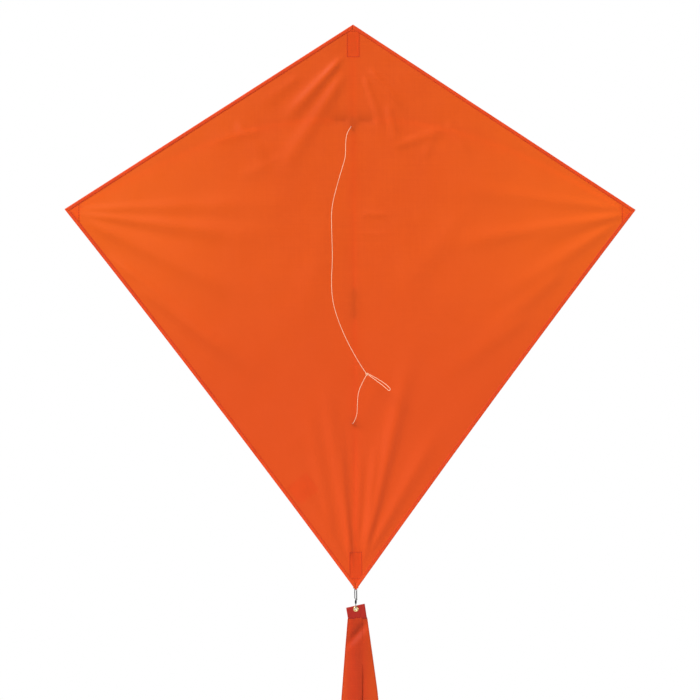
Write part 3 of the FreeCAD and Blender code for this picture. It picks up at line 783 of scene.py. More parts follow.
@dataclass
class TwistedLine:
    """A free line of the bridle, along its own route."""

    name: str
    route: Table
    length: float
    body: str
    node: str
    toward: tuple[float, float, float]
    step: float = 0.00024

    def centre_line(self) -> np.ndarray:
        """Returns evenly spaced points of the route's own smooth curve."""
        curve = bpy.data.curves.new(self.name + "_route", "CURVE")
        curve.dimensions, curve.resolution_u = "3D", 24
        spline = curve.splines.new("NURBS")
        spline.points.add(len(self.route) - 1)
        spline.points.foreach_set("co", [n for p in self.route for n in (*p, 1.0)])
        spline.order_u, spline.use_endpoint_u = 3, True
        holder = bpy.data.objects.new(self.name + "_route", curve)
        read = bpy.data.meshes.new_from_object(holder)
        raw = np.array([v.co[:] for v in read.vertices])
        bpy.data.objects.remove(holder)
        bpy.data.curves.remove(curve)
        bpy.data.meshes.remove(read)
        run = run_along(raw)
        even = np.linspace(0.0, run[-1], int(run[-1] / self.step))
        return np.stack([np.interp(even, run, raw[:, axis]) for axis in range(3)], -1)

    def build(self) -> tuple[bpy.types.Object, np.ndarray]:
        """Makes the line's mesh on its body.

        Returns:
            The piece and the points that it follows.
        """
        path = self.centre_line()
        piece = publish(self.name, [closed_tube(laid_up(path, self.toward))], LINE)
        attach(piece, self.body)
        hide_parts(self.node)
        return piece, path


@dataclass
class Bridle:
    """The two legs, the knot that joins them, the tow loop and the hitches round the spine."""

    knot: tuple[float, float, float] = (0.0146, -0.0264, -0.3385)
    knot_size: float = 0.00062
    knot_line: float = 0.00036
    hitch_radius: float = 0.0033
    tuck_radius: float = 0.00074
    upper_route: Table = (
        (-0.0033, -0.0049, -0.0084), (-0.0035, -0.0090, -0.0087), (-0.0058, -0.0138, -0.0126),
        (-0.0100, -0.0172, -0.0198), (-0.0118, -0.0192, -0.0320), (-0.0119, -0.0212, -0.0510),
        (-0.0165, -0.0229, -0.0650), (-0.0240, -0.0244, -0.0900), (-0.0315, -0.0258, -0.1190),
        (-0.0312, -0.0269, -0.1500), (-0.0302, -0.0277, -0.1870), (-0.0322, -0.0282, -0.2140),
        (-0.0308, -0.0283, -0.2420), (-0.0235, -0.0282, -0.2670), (-0.0130, -0.0279, -0.2920),
        (-0.0029, -0.0274, -0.3110), (0.0057, -0.0269, -0.3260), (0.0139, -0.0264, -0.3378))
    lower_route: Table = (
        (-0.0033, -0.0049, -0.4050), (-0.0031, -0.0088, -0.4046), (-0.0009, -0.0139, -0.4003),
        (0.0020, -0.0169, -0.3918), (0.0023, -0.0198, -0.3780), (0.0027, -0.0228, -0.3660),
        (0.0056, -0.0248, -0.3550), (0.0140, -0.0263, -0.3393))
    loop_route: Table = (
        (0.01639, -0.02708, -0.33929), (0.02605, -0.03147, -0.34663),
        (0.03562, -0.03587, -0.35406), (0.04057, -0.03826, -0.35842),
        (0.04268, -0.03934, -0.36057), (0.04466, -0.03934, -0.35818),
        (0.04277, -0.03826, -0.35575), (0.03800, -0.03587, -0.35117),
        (0.02794, -0.03147, -0.34434), (0.01708, -0.02708, -0.33845))

    def overhand(self) -> bpy.types.Object:
        """The joining knot: the line drawn up into a trefoil.

        For t from 0 to a full turn, x is sin t plus 2 sin 2t, y is -1.1 sin 3t and z is cos t
        less 2 cos 2t, all times the knot's size.
        """
        t = np.linspace(0.0, 2 * math.pi, 121)[:-1]
        path = np.stack([np.sin(t) + 2 * np.sin(2 * t), -1.1 * np.sin(3 * t),
                         np.cos(t) - 2 * np.cos(2 * t)], -1) * self.knot_size + np.array(self.knot)
        ahead = unit(np.roll(path, -1, 0) - np.roll(path, 1, 0))
        side = unit(np.cross(ahead, (0.0, 1.0, 0.0)))
        points = rings_on(path, side, np.cross(side, ahead), circle(10) * self.knot_line)
        turns = lattice(np.concatenate([points, points[:1]]), wrap=True)
        piece = publish("bridle_knot_turns", [turns], LINE)
        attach(piece, "bridle")
        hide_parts("bridle_knot")
        return piece

    def hitch(self, label: str, height: float) -> bpy.types.Object:
        """A hitch: in through the cloth, once round the spine and once round its standing part.

        Args:
            label: "upper" or "lower".
            height: the hitch's z.

        Returns:
            The piece, in place of the frame's ring of line.
        """
        radius, tuck_radius = self.hitch_radius, self.tuck_radius
        front = self.upper_route[0][1]
        straight = np.stack([np.full(24, -radius), np.linspace(front, -0.0001, 24)], -1)
        angle = np.linspace(math.pi, -0.62 * math.pi, 90)
        turn = radius * np.stack([np.cos(angle), np.sin(angle)], -1)
        flat = np.concatenate([straight, turn])
        path = np.concatenate([flat, np.zeros((len(flat), 1))], -1)
        wind = np.linspace(0.35 * math.pi, 2.2 * math.pi, 48)
        tuck = np.stack([-radius + tuck_radius * np.cos(wind), np.linspace(-0.0031, -0.0024, 48),
                         -tuck_radius * np.sin(wind)], -1)
        path = np.concatenate([path[:-6], tuck]) + np.array((0.0, 0.0, height))
        smooth = path.copy()
        smooth[1:-1] = (path[:-2] + 2 * path[1:-1] + path[2:]) / 4
        rings = laid_up(smooth, (0.05, 0.1, 1.0))
        piece = publish(label + "_hitch_turns", [closed_tube(rings)], LINE)
        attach(piece, SPINE)
        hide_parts(label + "_bridle_hitch")
        return piece

    def build(self) -> None:
        """Makes the three free lines first, then the knot and the hitches."""
        upper = TwistedLine("upper_leg", self.upper_route, 0.350, "bridle", "bridle_upper_leg",
                            toward=(1.0, 0.0, 0.0))
        lower = TwistedLine("lower_leg", self.lower_route, 0.075, "bridle", "bridle_lower_leg",
                            toward=(1.0, 0.0, 0.0))
        loop = TwistedLine("tow_line_loop", self.loop_route, 0.0745, "tow_loop", "tow_loop",
                           toward=(0.0, 1.0, 0.0))
        made = {line.name: line.build() for line in (upper, lower, loop)}
        knot = self.overhand()
        high = self.hitch("upper", self.upper_route[0][2])
        low = self.hitch("lower", self.lower_route[0][2])


# ---- sail ------------------------------------------------------------------------------------


@dataclass
class ClothShape:
    """The sail's outline, and how far its cloth stands forward at any place.

    The cloth's y is its rest plane, less a soft billow in each wing, a slow ripple and every
    fold's height, and it sags back beside the spine where it lies over a fitting arm.
    A fold runs from one point to another. Its height falls off as the exponential of minus the
    square of the distance from it over its width, and fades in at its start and out at its end.
    """

    nose: float = 0.1278
    tip_x: float = 0.3824
    tip_z: float = -0.119
    tail: float = -0.628
    rest: float = -0.0044
    hollow: float = 0.0045
    billow: float = 0.0016
    sag_on_arm: float = 0.0009
    arm_starts: tuple[float, float] = (0.0065, 0.0095)
    arm_ends: tuple[float, float] = (0.025, 0.032)
    arm_reach: float = 0.0052
    ripple: float = 0.00013
    folds: np.ndarray = field(default_factory=lambda: MM * np.array([
        # start x, z, end x, z, width at the start and end, height
        (-12, 86, -98, -8, 4, 11, 2.8), (-8, 68, -112, -92, 6, 16, 2.2),
        (-158, -2, -108, -62, 5, 9, 1.7), (-120, -14, -196, -30, 6, 9, 0.9),
        (-96, -50, -156, -80, 6, 9, 0.7), (-70, 60, -130, 14, 5, 12, 1.0),
        (20, 70, 72, 10, 3, 7, 1.9), (14, 62, 41, -16, 3, 6, 1.7), (46, 22, 60, -44, 4, 8, 1.4),
        (52, -36, 132, -8, 5, 8, 1.3), (124, 0, 160, -50, 5, 8, 1.0), (94, -52, 112, -8, 5, 8, 0.7),
        (-378, -120, -60, -110, 4, 16, 1.2), (-376, -124, -90, -160, 4, 16, 2.0),
        (-370, -127, -170, -198, 4, 14, 1.2), (-366, -132, -110, -250, 5, 19, 2.4),
        (-330, -176, -116, -352, 6, 14, 3.0), (-300, -214, -150, -330, 5, 11, 1.6),
        (376, -120, 90, -84, 4, 17, 1.3), (376, -123, 90, -172, 4, 16, 1.8),
        (368, -126, 220, -166, 4, 11, 1.0), (360, -134, 170, -256, 5, 19, 1.6),
        (290, -196, 150, -310, 8, 16, 1.4), (240, -260, 110, -350, 8, 17, 1.1),
        (-4, -602, -43, -330, 3, 11, 2.1), (-6, -596, -22, -390, 2, 7, 1.7),
        (9, -594, 80, -290, 3, 15, 3.2), (12, -572, 31, -415, 3, 7, 1.9),
        (15, -584, 124, -390, 4, 14, 1.7), (-12, -592, -96, -450, 4, 16, 1.7),
        (-30, -560, -68, -360, 5, 12, 1.3), (2, -560, 8, -430, 3, 6, 1.1),
        (10, -124, 52, -127, 3, 5, 0.9), (6, -150, 46, -156, 3, 5, 0.5),
        (-40, -130, -70, -300, 12, 24, 0.9), (60, -150, 90, -280, 12, 24, 0.8),
        (150, -120, 60, -230, 10, 20, 0.7), (-170, -150, -90, -240, 8, 16, 0.8),
    ], dtype=float))

    def top(self, x: np.ndarray) -> np.ndarray:
        """Returns the leading edge's height: a straight line from the nose to the tip."""
        return self.nose + (self.tip_z - self.nose) * np.abs(x) / self.tip_x

    def low(self, x: np.ndarray) -> np.ndarray:
        """Returns the trailing edge's height: a line that bows into the sail between its ends."""
        share = np.abs(x) / self.tip_x
        straight = self.tail + (self.tip_z - self.tail) * share
        return straight + self.hollow * 4 * share * (1 - share)

    def depth(self, x: np.ndarray, z: np.ndarray) -> np.ndarray:
        """Returns the cloth's y at any places."""
        y = np.full(np.shape(x), self.rest)
        for x0, z0, x1, z1, narrow, wide, height in self.folds:
            run = np.array((x1 - x0, z1 - z0))
            long = math.hypot(*run)
            along = ((x - x0) * run[0] + (z - z0) * run[1]) / long**2
            aside = ((x - x0) * run[1] - (z - z0) * run[0]) / long
            width = narrow + (wide - narrow) * np.clip(along, 0.0, 1.0)
            fade = smoothstep(-0.02, 0.18, along) * (1 - smoothstep(0.6, 1.0, along))
            y = y - height * np.exp(-((aside / width) ** 2)) * fade
        share = np.clip(np.abs(x) / self.tip_x, 0.0, 1.0)
        height = np.clip((z - self.low(x)) / np.maximum(self.top(x) - self.low(x), 1e-4), 0.0, 1.0)
        puff = np.sin(math.pi * share) * np.sin(math.pi * height)
        ripple = (np.sin(61 * x + 23 * z + 0.7) + np.sin(37 * z - 29 * x + 2.1)
                  + np.sin(97 * x - 71 * z + 4.0) * 0.6 + 2.6)
        out = np.abs(x)
        over_arm = smoothstep(*self.arm_starts, out) * (1 - smoothstep(*self.arm_ends, out))
        return (y - self.billow * puff - self.ripple * ripple * smoothstep(0.02, 0.12, share)
                + self.sag_on_arm * over_arm * np.exp(-((z / self.arm_reach) ** 2)))

    def on(self, x: np.ndarray, z: np.ndarray, lift: object = 0.0) -> np.ndarray:
        """Returns points on the cloth, moved back by lift, which is less than zero in front."""
        x, z = np.broadcast_arrays(x, z)
        return np.stack([x, self.depth(x, z) + lift, z], -1)


SAIL = ClothShape()
FOLD_START, FOLD_END = 0.0092, 0.0150
STITCH_SHARE = 0.86


def bend(piece: bpy.types.Object, side: Side, start: float = FOLD_START,
         end: float = FOLD_END) -> None:
    """Bakes a piece's placement into its mesh."""
    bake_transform(piece)


def seam_run(x: np.ndarray, z: np.ndarray, pitch: float, lifts: tuple[float, ...]) -> list[Shell]:
    """Stitches along a line on the sail.

    Args:
        x: the line's points' x.
        z: and their z.
        pitch: the distance from one stitch to the next.
        lifts: how far behind the cloth each row lies.

    Returns:
        One shell for each row.
    """
    run = np.concatenate([[0.0], np.cumsum(np.hypot(np.diff(x), np.diff(z)))])
    count = max(int(run[-1] / pitch), 1)
    even = (np.arange(count) + 0.5) * run[-1] / count
    half = pitch * 0.4
    at = [np.stack([np.interp(even + o, run, x), np.interp(even + o, run, z)], -1)
          for o in (-half, 0.0, half)]
    rows = []
    for lift in lifts:
        back, middle, ahead = (SAIL.on(p[:, 0], p[:, 1], lift) for p in at)
        rows.append(stitches(middle, unit(ahead - back), pitch * STITCH_SHARE))
    return rows


@dataclass
class SailHalf:
    """One half of the sail, with its hems, its seams and the pocket at its tip."""

    side: Side
    columns: int = 132
    rows: int = 236
    seam_in: float = 0.0040
    pitch: float = 0.0030
    tip_gap: float = 0.0012
    rod_end: tuple[float, float] = (0.3724, -0.1212)
    rod_fall: float = 29.1
    rod_in_pocket: float = 0.0134
    neck: tuple[float, float] = (0.0062, 0.0121)
    hole: float = 0.0007
    exits: tuple[float, float] = (-0.0084, -0.405)
    exit_x: float = 0.0033

    def cloth(self) -> bpy.types.Object:
        """The cloth: a grid from the spine to the tip, and between the two edges at each x.

        The left half has a slot of one cell for each bridle leg, so two grid lines lie a hole's
        width apart at each.
        """
        share = np.linspace(0.0, 1.0, self.columns)
        x = (SAIL.tip_x - self.tip_gap) * share
        t = np.linspace(0.0, 1.0, self.rows)
        slots = []
        nodes = [self.side.label + "_sail_panel"]
        clear_x, clear_t = 0.0012, 0.0018
        if self.side is Side.LEFT:
            nodes.append("sail_centre_strip")
            x = np.unique(np.concatenate([x[np.abs(x - self.exit_x) > clear_x],
                                          [self.exit_x - self.hole, self.exit_x + self.hole]]))
            low, top = SAIL.low(self.exit_x), SAIL.top(self.exit_x)
            for height in self.exits:
                ends = (np.array((height - self.hole, height + self.hole)) - low) / (top - low)
                t = np.unique(np.concatenate([t[np.abs(t - ends.mean()) > clear_t], ends]))
                slots.append(ends[0])
        across, up = np.meshgrid(x, t)
        z = SAIL.low(across) + up * (SAIL.top(across) - SAIL.low(across))
        points = SAIL.on(self.side.value * across, z)
        shell, quads = lattice(points, flip=self.side is Side.LEFT)
        if slots:
            wide = len(x) - 1
            column = int(np.searchsorted(x, self.exit_x - self.hole / 2)) - 1
            gone = [int(np.searchsorted(t, s + 1e-6) - 1) * wide + column for s in slots]
            quads = np.delete(quads, gone, axis=0)
        piece = publish(self.side.label + "_sail", [(shell, quads)], SAIL_CLOTH, closed=False)
        bend(piece, self.side)
        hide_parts(*nodes)
        return piece

    def edge_line(self, edge: Edge, x: np.ndarray) -> tuple[np.ndarray, float]:
        """Returns an edge's height at each x, and how much longer the edge is than its x."""
        line = SAIL.top(x) if edge is Edge.LEADING else SAIL.low(x)
        drop = (SAIL.nose if edge is Edge.LEADING else SAIL.tail) - SAIL.tip_z
        return line, math.hypot(1.0, drop / SAIL.tip_x)

    def edge_hem(self, edge: Edge) -> bpy.types.Object:
        """A folded hem: a flattened loop of cloth round the edge.

        Each ring is a closed profile of distances in from the edge and lifts off the cloth, with
        a groove where the seam pulls it in. Its points share one x, so the hems mitre at the nose.
        """
        front = np.array([(0.0, 0.0), (0.12, -0.30), (0.5, -0.46), (1.8, -0.50), (3.2, -0.46),
                          (3.75, -0.34), (4.0, -0.30), (4.25, -0.34), (4.7, -0.40), (5.0, -0.20)])
        back = front[:0:-1] * (1.0, -1.0)
        profile = np.concatenate([front, back[:-1], [(0.12, 0.30)]]) * MM
        if len(profile) % 2:
            profile = np.delete(profile, -2, axis=0)
        x = np.linspace(0.0, SAIL.tip_x - 0.0004, 160)
        line, longer = self.edge_line(edge, x)
        room = 0.49 * (SAIL.top(x) - SAIL.low(x))
        inset = np.minimum(profile[None, :, 0] * longer, room[:, None])
        z = line[:, None] + edge.value * inset
        across = self.side.value * np.broadcast_to(x[:, None], z.shape)
        rings = SAIL.on(across, z, profile[None, :, 1])
        name = f"{self.side.label}_{edge.name.lower()}_hem"
        piece = publish(name + "_fold", [closed_tube(rings)], HEM_CLOTH)
        bend(piece, self.side)
        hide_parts(name)
        return piece

    def edge_seam(self, edge: Edge) -> bpy.types.Object:
        """The hem's row of stitches, on both faces."""
        x = np.linspace(0.006, SAIL.tip_x - 0.008, 200)
        line, longer = self.edge_line(edge, x)
        z = line + edge.value * self.seam_in * longer
        rows = seam_run(self.side.value * x, z, self.pitch, (-0.00036, 0.00036))
        piece = publish(f"{self.side.label}_{edge.name.lower()}_seam", rows, SEAM_THREAD)
        bend(piece, self.side)
        return piece

    def tip_pocket(self) -> list[bpy.types.Object]:
        """The corner patch with the pocket that holds the spreader's end, and its seams."""
        sign = self.side.value
        inner, outer = SAIL.tip_x - 0.020, SAIL.tip_x - 0.0022
        x, t = np.meshgrid(np.linspace(inner, outer, 14), np.linspace(0.0, 1.0, 18))
        low, top = SAIL.low(x) + 0.0008, SAIL.top(x) - 0.0006
        patch = lattice(SAIL.on(sign * x, low + t * (top - low), 0.00072), flip=sign > 0)
        fall = math.radians(self.rod_fall)
        heading = np.array((sign * math.cos(fall), -math.sin(fall)))
        start = np.array((sign * self.rod_end[0], self.rod_end[1])) - heading * self.rod_in_pocket
        tunnel = Pocket(start, heading, length=0.0166, reach=0.0042, arch_half=0.0029,
                        rod_back=0.0027, clear=0.0031, lift=0.00098)
        name = self.side.label + "_tip_pocket"
        piece = publish(name + "_cloth", [patch, tunnel.sheet()], POCKET_CLOTH, closed=False,
                        thickness=0.00024)
        seams = tunnel.seams((0.00125,))
        line = np.linspace(SAIL.low(inner) + 0.006, SAIL.top(inner) - 0.006, 40)
        seams += seam_run(np.full(40, sign * (inner + 0.0012)), line, self.pitch, (-0.0002, 0.0009))
        thread = publish(self.side.label + "_tip_seam", seams, SEAM_THREAD)
        for made in (piece, thread):
            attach(made, self.side.wing)
        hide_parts(name)
        return [piece, thread]

    def elbow(self) -> None:
        """The fitting's arm: a soft sleeve on the rod, with a ribbed neck.

        Its radius at each distance from the spine is joined up from a short list of rings.
        """
        rings = MM * np.array([
            (5.4, 2.2), (5.6, 2.9), (6.1, 3.0), (6.5, 2.55), (7.0, 2.35), (7.5, 2.6), (8.0, 2.35),
            (8.5, 2.6), (9.0, 2.4), (9.5, 2.9), (10.0, 3.2), (10.6, 3.25), (14.0, 3.25),
            (18.0, 3.2), (22.0, 3.15), (24.6, 3.12), (24.9, 3.4), (25.8, 3.42), (26.1, 3.2),
            (26.15, 2.2), (26.0, 1.62), (25.4, 1.53), (25.0, 1.52)])
        steps, sides = 4, 28
        x = np.concatenate([np.linspace(a, b, steps)[:-1]
                            for a, b in zip(rings[:-1, 0], rings[1:, 0])])
        rise = smoothstep(0.0, 1.0, np.linspace(0, 1, steps)[:-1])
        radius = np.concatenate([a + (b - a) * rise for a, b in zip(rings[:-1, 1], rings[1:, 1])])
        ring = circle(sides)
        points = np.stack([np.broadcast_to(self.side.value * x[:, None], (len(x), sides)),
                           radius[:, None] * ring[:, 0], radius[:, None] * ring[:, 1]], -1)
        piece = publish(self.side.label + "_elbow", [closed_tube(points)], VINYL)
        bend(piece, self.side, *self.neck)
        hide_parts(self.side.label + "_fitting_arm")

    def build(self) -> tuple[bpy.types.Object, list[bpy.types.Object]]:
        """Makes the half.

        Returns:
            The cloth, and the pieces sewn to it.
        """
        cloth = self.cloth()
        sewn = [self.edge_hem(edge) for edge in Edge] + [self.edge_seam(edge) for edge in Edge]
        sewn += self.tip_pocket()
        self.elbow()
        return cloth, sewn


@dataclass
class Pocket:
    """A sewn tunnel for a rod's end: two flanges on the cloth and an arch over the rod.

    Across the rod, the section runs along one flange, over the arch, whose side is the cosine
    and whose height is a power of the sine of an angle from 0 to 180 degrees, and out along the
    other flange. Towards the closed end the arch sinks to the cloth.
    """

    start: np.ndarray
    heading: np.ndarray
    length: float
    reach: float
    arch_half: float
    rod_back: float
    clear: float
    lift: float
    flat_end: float = 0.0
    slack: float = 0.003
    margin: float = 0.0006
    seam_in: float = 0.0009

    def spot(self, along: np.ndarray, across: np.ndarray) -> tuple[np.ndarray, np.ndarray]:
        """Returns x and z at distances along the rod and across it."""
        ahead, side = self.heading, (-self.heading[1], self.heading[0])
        return (self.start[0] + along * ahead[0] + across * side[0],
                self.start[1] + along * ahead[1] + across * side[1])

    def half_width(self, along: np.ndarray) -> np.ndarray:
        """Returns the flanges' reach, which the sail's edges narrow in an upright pocket."""
        z = self.start[1] + along * self.heading[1]
        if self.heading[0]:
            return np.full(along.shape, self.reach)
        corner = SAIL.nose if self.heading[1] > 0 else SAIL.tail
        slope = abs(corner - SAIL.tip_z) / SAIL.tip_x
        return np.minimum(self.reach, np.abs(corner - z) / slope - self.margin)

    def sheet(self) -> Shell:
        """Returns the pocket's cloth, from its mouth to its closed end."""
        along = np.linspace(0.0, self.length + self.flat_end, 40)[:, None]
        reach = self.half_width(along)
        height = self.rod_back + self.clear - SAIL.rest - self.slack - self.lift
        sink = 1 - smoothstep(self.length * 0.80, self.length, along)
        mouth = 1 + 0.05 * (1 - smoothstep(0.0, self.length * 0.2, along))
        angle = np.linspace(0.0, math.pi, 25)[None]
        flange = np.linspace(0.0, 1.0, 7)[None, :-1]
        out = reach - self.arch_half
        left = -reach + out * flange
        right = -left[:, ::-1]
        rise = height * mouth * sink * np.sin(angle) ** 0.7
        arch = np.broadcast_to(-self.arch_half * np.cos(angle), rise.shape)
        across = np.concatenate([left, arch, right], 1)
        up = np.concatenate([np.zeros(left.shape), rise, np.zeros(right.shape)], 1)
        x, z = self.spot(along, across)
        return lattice(SAIL.on(x, z, self.lift + up))

    def seams(self, lifts: tuple[float, ...]) -> list[Shell]:
        """Returns the stitches down both flanges, one shell for each row and flange."""
        along = np.linspace(0.0005, self.length + self.flat_end * 0.4, 40)
        shells: list[Shell] = []
        for sign in (-1.0, 1.0):
            across = sign * (self.half_width(along) - self.seam_in)
            shells += seam_run(*self.spot(along, across), FINE_PITCH, lifts)
        return shells


@dataclass
class SpinePockets:
    """The pockets at the nose and the tail that hold the spine's two ends."""

    reach: float = 0.0088
    wall: float = 0.00024

    def pocket(self, label: str, mouth: float, closed_at: float, corner: float) -> list:
        """Makes one pocket.

        Args:
            label: "nose" or "tail".
            mouth: the z of its open end.
            closed_at: the z that its tunnel closes at.
            corner: the z that its patch runs on to.

        Returns:
            The pocket and its seam.
        """
        way = math.copysign(1.0, closed_at - mouth)
        shape = Pocket(np.array((0.0, mouth)), np.array((0.0, way)),
                       length=abs(closed_at - mouth), reach=self.reach, arch_half=0.0034,
                       rod_back=0.0030, clear=0.0030, lift=0.00068,
                       flat_end=abs(corner - closed_at))
        piece = publish(label + "_pocket_cloth", [shape.sheet()], POCKET_CLOTH, closed=False,
                        thickness=self.wall)
        seams = shape.seams((-0.00016, 0.00095))
        x = np.linspace(-self.reach, self.reach, 30)
        for height, share in ((mouth + way * 0.0010, 1.0), (closed_at + way * 0.0006, 0.72)):
            seams += seam_run(share * x, np.full(30, height), FINE_PITCH, (-0.00016,))
        thread = publish(label + "_pocket_seam", seams, SEAM_THREAD)
        for made in (piece, thread):
            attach(made, SPINE)
        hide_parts(label + "_pocket")
        return [piece, thread]

    def build(self) -> list[bpy.types.Object]:
        """Returns the four pieces."""
        return (self.pocket("nose", 0.084, 0.1184, 0.1243)
                + self.pocket("tail", -0.576, -0.6116, -0.6255))


@dataclass
class Label:
    """The blank label on the left wing's back, square to the trailing edge."""

    centre: tuple[float, float] = (-0.0700, -0.4910)
    along: float = 0.028
    across: float = 0.032
    lift: float = 0.00034
    pitch: float = 0.0024

    def spot(self, s: np.ndarray, t: np.ndarray) -> list[np.ndarray]:
        """Returns x and z at shares s and t of the label, along the trailing edge and across it."""
        run = np.array((SAIL.tip_x, SAIL.tail - SAIL.tip_z))
        run = run / np.linalg.norm(run)
        side = (-run[1], run[0])
        return [middle + s * self.along * ahead + t * self.across * aside
                for middle, ahead, aside in zip(self.centre, run, side)]

    def build(self) -> list[bpy.types.Object]:
        """Makes the label and its stitches.

        Returns:
            Both pieces.
        """
        s, t = np.meshgrid(np.linspace(-0.5, 0.5, 20), np.linspace(-0.5, 0.5, 20))
        x, z = self.spot(s, t)
        rim = np.maximum(np.abs(s), np.abs(t))
        lift = self.lift + 0.00012 * np.exp(-(((rim - 0.30) / 0.12) ** 2))
        piece = publish("blank_label", [lattice(SAIL.on(x, z, lift))], LABEL_CLOTH, closed=False,
                        thickness=0.00018)
        corners = 0.45 * np.array([(-1, -1), (1, -1), (1, 1), (-1, 1), (-1, -1)])
        shells: list[Shell] = []
        for first, last in zip(corners[:-1], corners[1:]):
            edge = first + (last - first) * np.linspace(0.0, 1.0, 12)[:, None]
            shells += seam_run(*self.spot(*edge.T), self.pitch, (self.lift + 0.00016,))
        thread = publish("label_seam", shells, PALE_THREAD)
        for made in (piece, thread):
            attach(made, Side.LEFT.wing)
        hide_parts("sewn_label")
        return [piece, thread]


# ---- tail ------------------------------------------------------------------------------------


